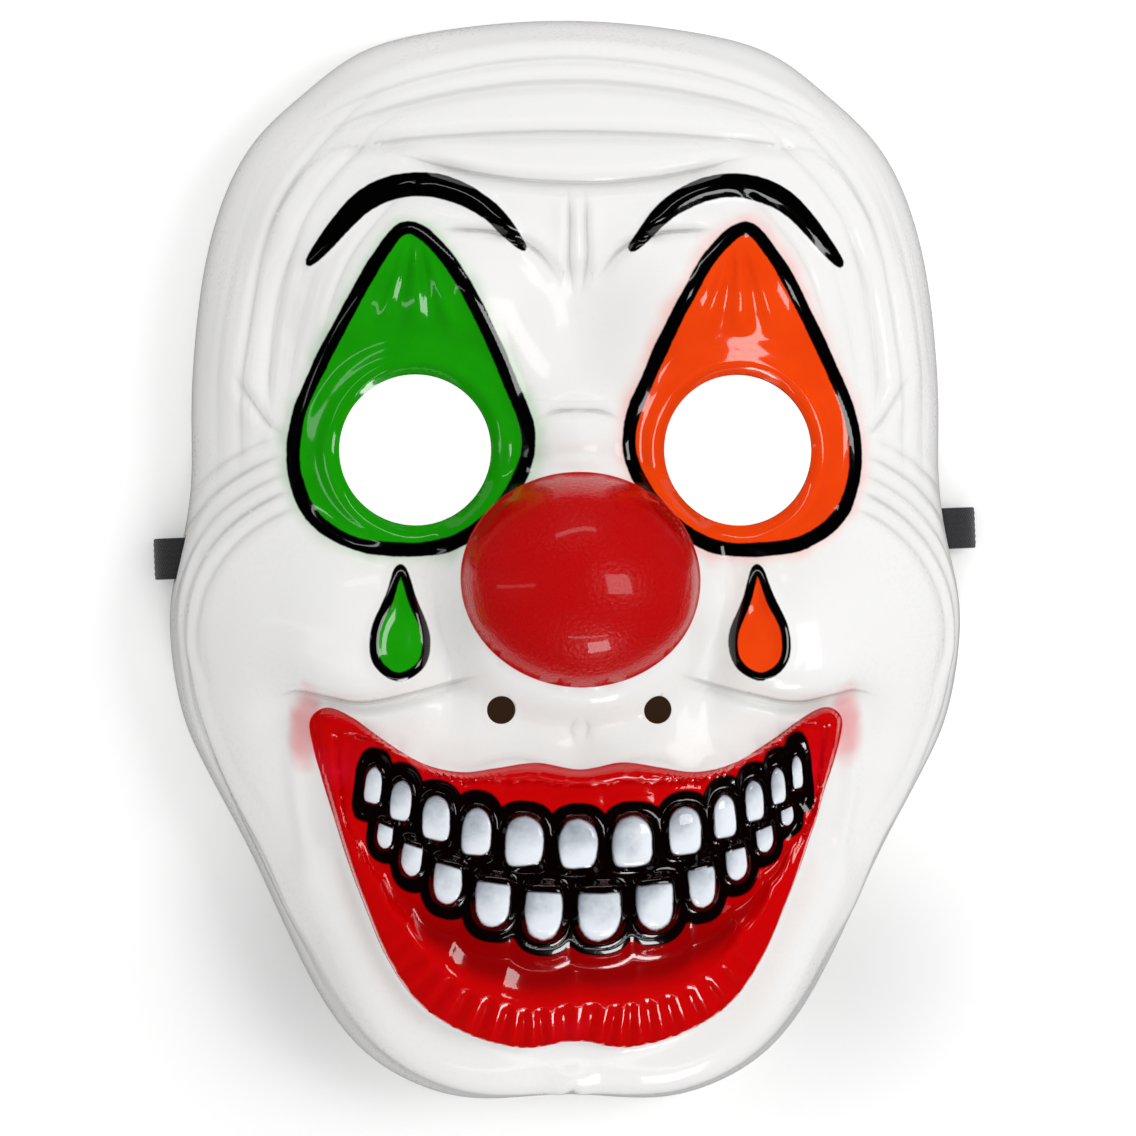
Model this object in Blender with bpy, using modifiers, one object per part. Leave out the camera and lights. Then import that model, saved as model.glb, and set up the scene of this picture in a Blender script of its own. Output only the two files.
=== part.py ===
"""Clown mask: one thin formed plastic shell with a ball nose, bared teeth and raised
make-up lines, and an elastic strap looped through a slot at each side.

The mask lies face up on its trimmed edge. +Z is up, out of the face, +Y points to the
crown and +X to the viewer's right. The origin is on the table, under the middle of the mask.
"""

import math
from collections import namedtuple

import bmesh
import bpy
import numpy as np

MM = 0.001

# Overall size of the shell
MASK_HEIGHT = 249.5 * MM
MASK_WIDTH = 184 * MM
FACE_DEPTH = 58 * MM
SHELL_WALL = 1.0 * MM
EDGE_SQUARENESS = 2.35
OUTLINE_STEPS = 720
CORNER_EASE = 4.0

# Eye openings and the lids round them
EYE_SPACING = 72.4 * MM
EYE_HEIGHT = 24.5 * MM
EYE_HOLE_DIAMETER = 33.8 * MM
SOCKET_DEPTH = 6.5 * MM
SOCKET_RADIUS = 25 * MM
LID_WIDTH = 5.0 * MM
LID_STAND = 2.2 * MM

# Ball nose, the collar that carries it, and the nostrils
NOSE_WIDTH = 52 * MM
NOSE_HEIGHT = 46.6 * MM
NOSE_STAND = 19.5 * MM
NOSE_DROP = 4.4 * MM
COLLAR_WIDTH = 64 * MM
COLLAR_HEIGHT = 58 * MM
COLLAR_STAND = 10 * MM
COLLAR_DROP = 7.6 * MM
NOSTRIL_SPACING = 34.8 * MM
NOSTRIL_DROP = 33.4 * MM
NOSTRIL_DIAMETER = 6.3 * MM

# Mouth: the lips' outer edge, the two rows of teeth and the lip's ribs
MOUTH_WIDTH = 119 * MM
MOUTH_HEIGHT = 76 * MM
MOUTH_DROP = 71.3 * MM
LIP_STAND = 4.6 * MM
RIB_PITCH = 6.7 * MM
RIB_DEPTH = 0.8 * MM
ROW_WIDTH = 100 * MM
BITE_DROP = 70.5 * MM
UPPER_TOOTH_HEIGHT = 14.5 * MM
LOWER_TOOTH_HEIGHT = 16 * MM
TOOTH_GAP = 1.0 * MM
TOOTH_STAND = 3.0 * MM
GUM_STAND = 2.0 * MM

# Raised make-up lines: the patch round each eye, the drop under it and the brow
PATCH_HEIGHT = 72 * MM
PATCH_WIDTH = 50 * MM
DROP_HEIGHT = 24 * MM
DROP_WIDTH = 12.5 * MM
LINE_WIDTH = 3.4 * MM
LINE_STAND = 1.1 * MM
BROW_WIDTH = 5.6 * MM
BROW_STAND = 1.8 * MM
BROW_SPAN = 48 * MM
BROW_HEIGHT = 84 * MM

# Wrinkles
FOLD_WIDTH = 5.0 * MM
FOLD_DEPTH = 1.7 * MM

# Elastic strap and the slots that it is looped through
STRAP_WIDTH = 9.5 * MM
STRAP_THICKNESS = 1.2 * MM
STRAP_CLEARANCE = 0.6 * MM
SLOT_HEIGHT = 8.6 * MM
SLOT_UP_LEFT = 0.2 * MM
SLOT_UP_RIGHT = 7.4 * MM
LOOP_SPAN = 190.2 * MM
SEWN_LENGTH = 9 * MM
LAP_INSIDE = 12 * MM
LAP_GAP = 0.3 * MM
STRAP_LOW = STRAP_THICKNESS / 2 + 0.05 * MM
STRAP_ARCH = 11 * MM
STRAP_BOW = 13 * MM
EDGE_ARCH_LENGTH = 52 * MM

# How finely the sheet is drawn before it is thinned to the triangles that its shape needs
SHEET_STEP = 1.1 * MM
SHEET_TRIANGLES = 4600
SKIRT = 3 * MM
TRIM_DEPTH = 16 * MM
LAUGH_LINE_FADE = 30

HALF_WIDTH = MASK_WIDTH / 2
HALF_HEIGHT = MASK_HEIGHT / 2
EYE_X = EYE_SPACING / 2
SLOT_GAP = STRAP_THICKNESS + 2 * STRAP_CLEARANCE
EDGE_ARCH_RISE = STRAP_THICKNESS + 2 * STRAP_CLEARANCE + 0.6 * MM

# The mask's front outline, right half from crown to chin.
# Shares of half the mask's height and of half its width.
OutlinePoint = namedtuple("OutlinePoint", "up out")
OUTLINE = (
    OutlinePoint(1.000, 0.000),
    OutlinePoint(0.958, 0.465),
    OutlinePoint(0.872, 0.640),
    OutlinePoint(0.758, 0.803),
    OutlinePoint(0.577, 0.897),
    OutlinePoint(0.335, 0.937),
    OutlinePoint(0.150, 0.938),
    OutlinePoint(0.031, 0.961),
    OutlinePoint(-0.100, 0.996),
    OutlinePoint(-0.284, 0.963),
    OutlinePoint(-0.405, 0.888),
    OutlinePoint(-0.538, 0.791),
    OutlinePoint(-0.686, 0.699),
    OutlinePoint(-0.807, 0.617),
    OutlinePoint(-0.894, 0.535),
    OutlinePoint(-0.952, 0.434),
    OutlinePoint(-1.000, 0.250),
    OutlinePoint(-0.988, 0.000),
)

# Broad swellings and hollows of the face. out, across: shares of half the width.
# up, along: shares of half the height. rise: share of the face's depth.
Form = namedtuple("Form", "name out up across along rise")
FORMS = (
    Form("muzzle", 0.00, -0.62, 0.52, 0.32, 0.150),
    Form("chin", 0.16, -0.905, 0.20, 0.085, 0.085),
    Form("cheek", 0.57, -0.09, 0.25, 0.17, 0.150),
    Form("brow", 0.36, 0.50, 0.24, 0.09, 0.070),
    Form("frown", 0.00, 0.44, 0.10, 0.13, -0.030),
    Form("temple", 0.82, 0.28, 0.12, 0.20, -0.050),
    Form("forehead", 0.00, 0.66, 0.50, 0.20, 0.050),
    Form("bridge", 0.00, 0.175, 0.13, 0.085, 0.110),
    Form("philtrum", 0.00, -0.330, 0.05, 0.05, -0.020),
)

# Grooves across the forehead. up: share of half the height. out: half length, share of half
# the width. sag: how far the ends come down, share of half the height. depth: share of FOLD_DEPTH.
ForeheadFold = namedtuple("ForeheadFold", "up out sag depth")
FOREHEAD_FOLDS = (
    ForeheadFold(0.905, 0.46, 0.06, 0.45),
    ForeheadFold(0.835, 0.60, 0.10, 0.70),
    ForeheadFold(0.755, 0.62, 0.09, 1.00),
    ForeheadFold(0.665, 0.24, -0.02, 0.80),
)

# Laugh lines, arcs round the outer side of each cheek. radius: share of half the width.
# start, end: degrees from straight out, towards the crown. depth: share of FOLD_DEPTH.
LaughLine = namedtuple("LaughLine", "radius start end depth")
LAUGH_LINES = (
    LaughLine(0.30, -25, 110, 0.55),
    LaughLine(0.345, -15, 100, 0.60),
    LaughLine(0.395, 5, 92, 0.50),
    LaughLine(0.450, 28, 84, 0.40),
)

# The groove from the nose under the cheek and down beside the mouth.
# Shares of half the mouth's width, and of half its height above the mouth's middle.
SmilePoint = namedtuple("SmilePoint", "out up")
SMILE_FOLD = (
    SmilePoint(0.40, 1.03),
    SmilePoint(0.55, 0.96),
    SmilePoint(0.75, 1.05),
    SmilePoint(0.95, 1.22),
    SmilePoint(1.10, 1.10),
    SmilePoint(1.14, 0.75),
    SmilePoint(1.08, 0.30),
    SmilePoint(0.99, -0.10),
)

# The lips' outer edge, right half from the middle of the upper lip to that of the lower.
# Shares of half the mouth's width, and of half its height above the mouth's middle.
LipPoint = namedtuple("LipPoint", "out up")
LIP_EDGE = (
    LipPoint(0.000, 0.640),
    LipPoint(0.160, 0.682),
    LipPoint(0.310, 0.650),
    LipPoint(0.440, 0.625),
    LipPoint(0.580, 0.672),
    LipPoint(0.726, 0.806),
    LipPoint(0.845, 0.940),
    LipPoint(0.940, 1.000),
    LipPoint(0.998, 0.930),
    LipPoint(0.985, 0.780),
    LipPoint(0.940, 0.540),
    LipPoint(0.872, 0.210),
    LipPoint(0.796, -0.110),
    LipPoint(0.694, -0.470),
    LipPoint(0.565, -0.750),
    LipPoint(0.387, -0.930),
    LipPoint(0.193, -1.000),
    LipPoint(0.000, -0.962),
)

# Height of the lips across their band, from their outer edge, 0, to the gum, 1.
# height: share of LIP_STAND.
LipProfile = namedtuple("LipProfile", "across height")
LIP_PROFILE = (
    LipProfile(-0.25, 0.00),
    LipProfile(0.00, 0.15),
    LipProfile(0.08, 0.55),
    LipProfile(0.22, 0.88),
    LipProfile(0.42, 1.00),
    LipProfile(0.60, 0.80),
    LipProfile(0.80, 0.25),
    LipProfile(1.00, 0.00),
)

# Widths of the teeth from the middle outwards, shares of half the row's width.
# The lower row has one tooth in the middle, whose half width comes first.
UPPER_TEETH = (0.220, 0.208, 0.186, 0.156, 0.126, 0.104)
LOWER_TEETH = (0.112, 0.214, 0.194, 0.168, 0.142, 0.116)

# How far the bite and the gums rise at the ends of the rows, shares of the row's half width.
BITE_RISE = 0.37
UPPER_GUM_RISE = 0.27
LOWER_GUM_RISE = 0.60

# The make-up patch round an eye, from its tip clockwise, right eye.
# Shares of half the patch's width, and of its height above the eye's middle.
PatchPoint = namedtuple("PatchPoint", "out up")
PATCH = (
    PatchPoint(0.06, 0.690),
    PatchPoint(0.30, 0.600),
    PatchPoint(0.54, 0.440),
    PatchPoint(0.78, 0.270),
    PatchPoint(0.97, 0.100),
    PatchPoint(1.00, -0.060),
    PatchPoint(0.86, -0.200),
    PatchPoint(0.54, -0.285),
    PatchPoint(0.14, -0.310),
    PatchPoint(-0.26, -0.295),
    PatchPoint(-0.60, -0.215),
    PatchPoint(-0.86, -0.080),
    PatchPoint(-0.92, 0.060),
    PatchPoint(-0.74, 0.240),
    PatchPoint(-0.52, 0.420),
    PatchPoint(-0.24, 0.600),
)

# The drop under an eye, from its point clockwise, right eye.
# Shares of half the drop's width and of its height below its point.
DropPoint = namedtuple("DropPoint", "out down")
DROP = (
    DropPoint(0.00, 0.00),
    DropPoint(0.42, 0.28),
    DropPoint(0.92, 0.58),
    DropPoint(0.86, 0.86),
    DropPoint(0.10, 1.00),
    DropPoint(-0.72, 0.88),
    DropPoint(-0.88, 0.62),
    DropPoint(-0.42, 0.30),
)
DROP_SIDE = 3.5 * MM
DROP_BELOW_EYE = 26.5 * MM

# The brow, from its inner end to its outer end, right eye.
# out: shares of half the brow's span from the eye's middle. down: shares of the span.
BrowPoint = namedtuple("BrowPoint", "out down")
BROW = (
    BrowPoint(-1.00, 0.30),
    BrowPoint(-0.62, 0.10),
    BrowPoint(-0.10, 0.00),
    BrowPoint(0.45, 0.07),
    BrowPoint(0.98, 0.36),
)


def gaussian(distance, width):
    """1 at no distance, falling smoothly to nothing past twice the width."""
    return np.exp(-((distance / width) ** 2))


def smooth_step(start, end, value):
    """0 before start, 1 after end, and smooth in between."""
    share = np.clip((value - start) / (end - start), 0, 1)
    return share * share * (3 - 2 * share)


def smooth_path(points, closed, steps=6):
    """Points along the smooth curve that runs through the given points."""
    points = np.array(points, float)
    if closed:
        start = points
        before, after, far = (np.roll(points, shift, 0) for shift in (1, -1, -2))
    else:
        first = 2 * points[0] - points[1]
        last = 2 * points[-1] - points[-2]
        padded = np.vstack([first, points, last])
        before, start, after, far = padded[:-3], padded[1:-2], padded[2:-1], padded[3:]
    a, b, c, d = (p[:, None, :] for p in (before, start, after, far))
    t = np.linspace(0, 1, steps, endpoint=False)[None, :, None]
    curve = 2 * b + (c - a) * t + (2 * a - 5 * b + 4 * c - d) * t**2
    curve = (curve + (3 * b - a - 3 * c + d) * t**3) / 2
    end = points[:1] if closed else points[-1:]
    return np.vstack([curve.reshape(-1, points.shape[1]), end])


def mirrored(half):
    """A closed outline from its right half, whose first and last points are on the middle."""
    left = [(-x, y) for x, y in reversed(half[1:-1])]
    return list(half) + left


def path_distance(x, y, path):
    """The distance of each point from the path, and how far along the path it is nearest."""
    best = np.full(x.shape, np.inf)
    along = np.zeros(x.shape)
    travelled = 0.0
    for (x0, y0), (x1, y1) in zip(path[:-1], path[1:]):
        dx, dy = x1 - x0, y1 - y0
        length = math.hypot(dx, dy)
        if length == 0:
            continue
        share = np.clip(((x - x0) * dx + (y - y0) * dy) / length**2, 0, 1)
        distance = np.hypot(x - x0 - share * dx, y - y0 - share * dy)
        nearer = distance < best
        best = np.where(nearer, distance, best)
        along = np.where(nearer, travelled + share * length, along)
        travelled += length
    return best, along


def inside_path(x, y, path):
    """True for each point that the closed path goes round."""
    inside = np.zeros(x.shape, bool)
    for (x0, y0), (x1, y1) in zip(path[:-1], path[1:]):
        if y0 == y1:
            continue
        crosses = (y0 > y) != (y1 > y)
        inside ^= crosses & (x < x0 + (y - y0) * (x1 - x0) / (y1 - y0))
    return inside


def outline_path():
    """The mask's front outline as a closed smooth path, with its corners eased."""
    half = [(p.out * HALF_WIDTH, p.up * HALF_HEIGHT) for p in OUTLINE]
    path = smooth_path(mirrored(half), closed=True)
    turns = np.linspace(-math.pi, math.pi, OUTLINE_STEPS, endpoint=False)
    angles = np.arctan2(path[:, 1], path[:, 0])
    radii = np.interp(turns, *sorted_pair(angles, np.hypot(*path.T)), period=2 * math.pi)
    spread = np.minimum(turns + math.pi, math.pi - turns)
    weights = gaussian(spread, math.radians(CORNER_EASE))
    eased = np.fft.irfft(np.fft.rfft(radii) * np.fft.rfft(weights / weights.sum()), len(radii))
    path = np.stack([eased * np.cos(turns), eased * np.sin(turns)], axis=-1)
    return np.vstack([path, path[:1]])


def sorted_pair(keys, values):
    """Both arrays in rising order of the first."""
    order = np.argsort(keys)
    return keys[order], values[order]


def lip_path():
    """The lips' outer edge as a closed smooth path."""
    half = [
        (p.out * MOUTH_WIDTH / 2, p.up * MOUTH_HEIGHT / 2 - MOUTH_DROP) for p in LIP_EDGE
    ]
    return smooth_path(mirrored(half), closed=True)


def smile_path():
    """The groove from the nose round the right corner of the mouth."""
    points = [
        (p.out * MOUTH_WIDTH / 2, p.up * MOUTH_HEIGHT / 2 - MOUTH_DROP)
        for p in SMILE_FOLD
    ]
    return smooth_path(points, closed=False)


def patch_path():
    """The edge of the make-up patch round the right eye."""
    points = [
        (EYE_X + p.out * PATCH_WIDTH / 2, EYE_HEIGHT + p.up * PATCH_HEIGHT) for p in PATCH
    ]
    return smooth_path(points, closed=True)


def drop_path():
    """The edge of the make-up drop under the right eye."""
    point_x = EYE_X + DROP_SIDE
    point_y = EYE_HEIGHT - DROP_BELOW_EYE
    points = [
        (point_x + p.out * DROP_WIDTH / 2, point_y - p.down * DROP_HEIGHT) for p in DROP
    ]
    return smooth_path(points, closed=True)


def brow_path():
    """The middle line of the right brow."""
    points = [
        (EYE_X + p.out * BROW_SPAN / 2, BROW_HEIGHT - p.down * BROW_SPAN) for p in BROW
    ]
    return smooth_path(points, closed=False)


def outline_share(x, y):
    """How far each point is from the middle of the mask, as a share of its outline's radius."""
    path = outline_path()
    angles, radii = sorted_pair(np.arctan2(path[:, 1], path[:, 0]), np.hypot(*path.T))
    return np.hypot(x, y) / np.interp(np.arctan2(y, x), angles, radii, period=2 * math.pi)


def dome(share):
    """Height of the plain dome at a share of the way from the middle to the outline."""
    inner = np.clip(1 - share**EDGE_SQUARENESS, 0, 1)
    return FACE_DEPTH * inner ** (1 / EDGE_SQUARENESS)


def broad_forms(x, y):
    """The muzzle, cheeks, brows and other broad swellings, each on both sides."""
    height = np.zeros(x.shape)
    for form in FORMS:
        for side in (1, -1) if form.out else (1,):
            across = (x - side * form.out * HALF_WIDTH) / (form.across * HALF_WIDTH)
            along = (y - form.up * HALF_HEIGHT) / (form.along * HALF_HEIGHT)
            height += form.rise * FACE_DEPTH * np.exp(-(across**2) - along**2)
    return height


def eye_forms(x, y):
    """A hollow socket round each eye opening, with a raised lid along the opening."""
    height = np.zeros(x.shape)
    lid_middle = EYE_HOLE_DIAMETER / 2 + LID_WIDTH / 2
    for side in (1, -1):
        distance = np.hypot(x - side * EYE_X, y - EYE_HEIGHT)
        height -= SOCKET_DEPTH * gaussian(distance, SOCKET_RADIUS)
        height += LID_STAND * gaussian(distance - lid_middle, LID_WIDTH / 2)
    return height


def ellipse_share(x, y, width, height, drop):
    """How far each point is from an ellipse's middle, as a share of the ellipse's radius."""
    return np.hypot(x / (width / 2), (y + drop) / (height / 2))


def nose_form(x, y):
    """The flared collar, and the ball that stands out of it with a small ledge round it."""
    collar = ellipse_share(x, y, COLLAR_WIDTH, COLLAR_HEIGHT, COLLAR_DROP)
    ball = ellipse_share(x, y, NOSE_WIDTH, NOSE_HEIGHT, NOSE_DROP)
    height = COLLAR_STAND * (1 - smooth_step(0.74, 1.12, collar))
    return height + NOSE_STAND * np.clip(1 - ball**2, 0, 1) ** 0.62


def forehead_folds(x, y):
    """Grooves across the forehead, with the skin swelling gently between them."""
    height = np.zeros(x.shape)
    for fold in FOREHEAD_FOLDS:
        reach = fold.out * HALF_WIDTH
        line = fold.up * HALF_HEIGHT - fold.sag * HALF_HEIGHT * (x / reach) ** 2
        fade = 1 - smooth_step(0.7 * reach, 1.15 * reach, np.abs(x))
        height += fade * fold.depth * groove(y - line)
    return height


def groove(distance):
    """A groove with a soft swelling on either side of it."""
    dip = gaussian(distance, FOLD_WIDTH * 0.32)
    return FOLD_DEPTH * (0.55 * gaussian(distance, FOLD_WIDTH) - 1.2 * dip)


def laugh_lines(x, y):
    """Arcs round the outer side of each cheek."""
    cheek = next(form for form in FORMS if form.name == "cheek")
    from_cheek_x = np.abs(x) - cheek.out * HALF_WIDTH
    from_cheek_y = y - cheek.up * HALF_HEIGHT
    radius = np.hypot(from_cheek_x, from_cheek_y)
    angle = np.degrees(np.arctan2(from_cheek_y, from_cheek_x))
    height = np.zeros(x.shape)
    for line in LAUGH_LINES:
        fade = smooth_step(line.start, line.start + LAUGH_LINE_FADE, angle)
        fade *= 1 - smooth_step(line.end - LAUGH_LINE_FADE, line.end, angle)
        height += fade * line.depth * groove(radius - line.radius * HALF_WIDTH)
    return height


def smile_fold(x, y):
    """The groove from the nose under each cheek and down beside the mouth."""
    path = smile_path()
    distance, along = path_distance(np.abs(x), y, path)
    length = np.hypot(*np.diff(path, axis=0).T).sum()
    fade = smooth_step(0, 0.15 * length, along) * (1 - smooth_step(0.7, 1, along / length))
    return fade * 1.3 * groove(distance * 0.8)


def row_line(x, middle, rise):
    """A line of the teeth across the mouth: lowest in the middle, and up at the ends."""
    share = np.abs(x) / (ROW_WIDTH / 2)
    return -middle + rise * ROW_WIDTH / 2 * share**2.3


def teeth():
    """Each tooth's middle, half width, half height and lean, for the right side and middle."""
    found = []
    rows = (
        (UPPER_TEETH, 0.0, UPPER_TOOTH_HEIGHT, UPPER_GUM_RISE),
        (LOWER_TEETH, -LOWER_TEETH[0], -LOWER_TOOTH_HEIGHT, LOWER_GUM_RISE),
    )
    for widths, start, tall, gum_rise in rows:
        inner = start
        for index, width in enumerate(widths):
            step = 2 * width if start and index == 0 else width
            middle = (inner + step / 2) * ROW_WIDTH / 2
            inner += step
            bite = row_line(middle, BITE_DROP, BITE_RISE)
            gum = row_line(middle, BITE_DROP - tall, gum_rise)
            slope = 0.55 * (BITE_RISE + gum_rise) * (middle / (ROW_WIDTH / 2)) ** 1.3
            half_width = step * ROW_WIDTH / 4 - TOOTH_GAP / 2
            half_height = abs(gum - bite) / 2 - TOOTH_GAP
            found.append((middle, (bite + gum) / 2, half_width, half_height, math.atan(slope)))
    return found


def tooth_share(x, y, tooth):
    """How far each point is from a tooth's middle, as a share of the tooth's own radius."""
    middle_x, middle_y, half_width, half_height, lean = tooth
    from_x, from_y = np.abs(x) - middle_x, y - middle_y
    along = from_y * math.cos(lean * 0.5) + from_x * math.sin(lean * 0.5) * 0
    across = from_x + from_y * math.tan(lean * 0.35)
    upright = along - from_x * math.tan(lean) * 0.8
    return (np.abs(across / half_width) ** 2.8 + np.abs(upright / half_height) ** 2.8) ** (
        1 / 2.8
    )


def mouth_form(x, y):
    """Rolled lips with ribs across the lower one, and two rows of teeth between them."""
    lips = lip_path()
    edge_distance, along = path_distance(x, y, lips)
    edge_distance = np.where(inside_path(x, y, lips), edge_distance, -edge_distance)
    gum_distance = np.full(x.shape, np.inf)
    pillows = np.zeros(x.shape)
    for tooth in teeth():
        share = tooth_share(x, y, tooth)
        size = min(tooth[2], tooth[3])
        gum_distance = np.minimum(gum_distance, (share - 1) * size)
        pillow = np.clip(1 - share**2.6, 0, 1) ** 0.7
        pillows = np.maximum(pillows, TOOTH_STAND * pillow * min(1, size / (5 * MM)))
    gum_distance = np.clip(gum_distance - 1.5 * TOOTH_GAP, 0, None)
    band = np.maximum(edge_distance, 0) + gum_distance
    across = np.where(edge_distance < 0, edge_distance / (20 * MM), edge_distance / (band + 1e-9))
    columns = np.array(LIP_PROFILE)
    lip = LIP_STAND * np.interp(across, columns[:, 0], columns[:, 1])
    roll = smooth_step(0.02, 0.12, across) * (1 - smooth_step(0.42, 0.58, across))
    lower = 1 - smooth_step(-MOUTH_DROP - 0.62 * MOUTH_HEIGHT / 2, -MOUTH_DROP, y)
    ribs = -RIB_DEPTH * np.abs(np.cos(math.pi * along / RIB_PITCH)) ** 4 * roll * lower
    gums = GUM_STAND * (1 - smooth_step(0, 4 * MM, gum_distance))
    return lip + ribs + gums + pillows


def make_up_lines(x, y):
    """The raised lines round each eye patch and drop, and the brows."""
    side_x = np.abs(x)
    height = np.zeros(x.shape)
    for path in (patch_path(), drop_path()):
        distance, _ = path_distance(side_x, y, path)
        height = np.maximum(height, LINE_STAND * gaussian(distance, LINE_WIDTH * 0.55))
    path = brow_path()
    distance, along = path_distance(side_x, y, path)
    length = np.hypot(*np.diff(path, axis=0).T).sum()
    taper = 0.35 + 0.65 * np.sin(math.pi * np.clip(along / length, 0, 1)) ** 0.6
    return np.maximum(height, BROW_STAND * gaussian(distance, BROW_WIDTH * 0.5 * taper))


def front_relief(x, y):
    """Everything that stands out of, or dips into, the plain dome."""
    return (
        broad_forms(x, y)
        + eye_forms(x, y)
        + nose_form(x, y)
        + forehead_folds(x, y)
        + laugh_lines(x, y)
        + smile_fold(x, y)
        + mouth_form(x, y)
        + make_up_lines(x, y)
    )


def radial_spacing(count=2001):
    """Shares from the middle to the outline, and how far along the dome's section each one is."""
    turn = np.linspace(0, 1, count)
    share = 1 - (1 - turn) ** 3
    run = np.diff(share) * (HALF_WIDTH + HALF_HEIGHT) / 2
    fall = np.diff(dome(share)) * 0.45
    travelled = np.concatenate([[0], np.cumsum(np.hypot(run, fall))])
    return travelled / travelled[-1], share


def sheet_points(columns, rows):
    """The formed sheet as a grid of points, from rim to rim, with a skirt below the table."""
    across, up = np.meshgrid(np.linspace(-1, 1, columns), np.linspace(-1, 1, rows))
    disc_x = across * np.sqrt(1 - up**2 / 2)
    disc_y = up * np.sqrt(1 - across**2 / 2)
    travelled, share_there = radial_spacing()
    reach = np.hypot(disc_x, disc_y)
    share = np.interp(reach, travelled, share_there)
    angle = np.arctan2(disc_y, disc_x)
    unit = 1 / outline_share(np.cos(angle), np.sin(angle))
    x, y = share * unit * np.cos(angle), share * unit * np.sin(angle)
    plain = dome(share)
    relief = front_relief(x, y) * (1 - smooth_step(0.93, 1.0, share))
    outward = smooth_step(0.72, 0.98, share) * 0.85
    x = x + relief * outward * np.cos(angle)
    y = y + relief * outward * np.sin(angle)
    z = plain + relief * np.sqrt(1 - outward**2)
    z = z - SKIRT * smooth_step(0.995, 1.0, reach)
    return np.stack([x, y, z], axis=-1)


def new_collection(name):
    """A new collection in the scene."""
    collection = bpy.data.collections.new(name)
    bpy.context.scene.collection.children.link(collection)
    return collection


def material(name, colour, roughness):
    """A plain material for one piece."""
    made = bpy.data.materials.new(name)
    made.use_nodes = True
    shader = made.node_tree.nodes["Principled BSDF"]
    shader.inputs["Base Color"].default_value = (*colour, 1)
    shader.inputs["Roughness"].default_value = roughness
    return made


def add_object(name, data, collection):
    """A new object with this data, in this collection."""
    made = bpy.data.objects.new(name, data)
    collection.objects.link(made)
    return made


def sheet_mesh(name, points):
    """A flat grid whose points are moved to the given rows of points."""
    rows, columns = points.shape[:2]
    sheet = bmesh.new()
    bmesh.ops.create_grid(sheet, x_segments=columns - 1, y_segments=rows - 1, size=0.5)
    for corner in sheet.verts:
        column = round((corner.co.x + 0.5) * (columns - 1))
        row = round((corner.co.y + 0.5) * (rows - 1))
        corner.co = points[row, column]
    mesh = bpy.data.meshes.new(name)
    sheet.to_mesh(mesh)
    sheet.free()
    return mesh


def cylinder_cutter(name, radius, length, place, turn, sides, collection):
    """A round cutter."""
    mesh = bpy.data.meshes.new(name)
    made = bmesh.new()
    bmesh.ops.create_cone(
        made,
        cap_ends=True,
        segments=sides,
        radius1=radius,
        radius2=radius,
        depth=length,
    )
    made.to_mesh(mesh)
    made.free()
    cutter = add_object(name, mesh, collection)
    cutter.location = place
    cutter.rotation_euler = turn
    return as_cutter(cutter)


def box_cutter(name, size, place, turn, collection):
    """A box cutter."""
    mesh = bpy.data.meshes.new(name)
    made = bmesh.new()
    bmesh.ops.create_cube(made, size=1)
    bmesh.ops.scale(made, vec=size, verts=made.verts)
    made.to_mesh(mesh)
    made.free()
    cutter = add_object(name, mesh, collection)
    cutter.location = place
    cutter.rotation_euler = turn
    return as_cutter(cutter)


def as_cutter(cutter):
    """Leaves a cutter out of renders."""
    cutter.hide_render = True
    cutter.display_type = "WIRE"
    return cutter


def strap_lean():
    """How far the strap turns from the mask's X axis, because its slots differ in height."""
    return math.atan2(SLOT_UP_RIGHT - SLOT_UP_LEFT, MASK_WIDTH)


def slot_place_up(side):
    """How far up the mask the slot is, on the right, 1, or the left, -1."""
    return SLOT_UP_RIGHT if side > 0 else SLOT_UP_LEFT


def edge_reach(up):
    """How far the mask's edge is from its middle at this height up the mask."""
    path = outline_path()
    right = path[path[:, 0] > 0]
    return float(np.interp(up, *sorted_pair(right[:, 1], right[:, 0])))


def shell_cutters(collection):
    """The trimming block with its two low arches, and the eye, nostril and strap openings."""
    through = 4 * FACE_DEPTH
    size = (1.4 * MASK_WIDTH, 1.3 * MASK_HEIGHT, TRIM_DEPTH)
    cutters = [box_cutter("trim", size, (0, 0, -TRIM_DEPTH / 2), (0, 0, 0), collection)]
    for side, word in ((1, "right"), (-1, "left")):
        slot_up = slot_place_up(side)
        arch_radius = (EDGE_ARCH_LENGTH**2 / 4 + EDGE_ARCH_RISE**2) / (2 * EDGE_ARCH_RISE)
        arch_place = (side * HALF_WIDTH, slot_up, EDGE_ARCH_RISE - arch_radius)
        cutters.append(
            cylinder_cutter(
                f"arch_{word}",
                arch_radius,
                HALF_WIDTH / 2,
                arch_place,
                (0, math.pi / 2, 0),
                128,
                collection,
            )
        )
        slot_size = (HALF_WIDTH / 3, STRAP_WIDTH + 2 * STRAP_CLEARANCE, SLOT_GAP)
        slot_place = (side * edge_reach(slot_up), slot_up, SLOT_HEIGHT)
        turn = (0, 0, strap_lean())
        cutters.append(box_cutter(f"slot_{word}", slot_size, slot_place, turn, collection))
        cutters.append(
            cylinder_cutter(
                f"eye_{word}",
                EYE_HOLE_DIAMETER / 2,
                through,
                (side * EYE_X, EYE_HEIGHT, through / 2 + SLOT_HEIGHT),
                (0, 0, 0),
                48,
                collection,
            )
        )
        cutters.append(
            cylinder_cutter(
                f"nostril_{word}",
                NOSTRIL_DIAMETER / 2,
                through,
                (side * NOSTRIL_SPACING / 2, -NOSTRIL_DROP, through / 2 + SLOT_HEIGHT),
                (0, 0, 0),
                20,
                collection,
            )
        )
    return cutters


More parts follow.
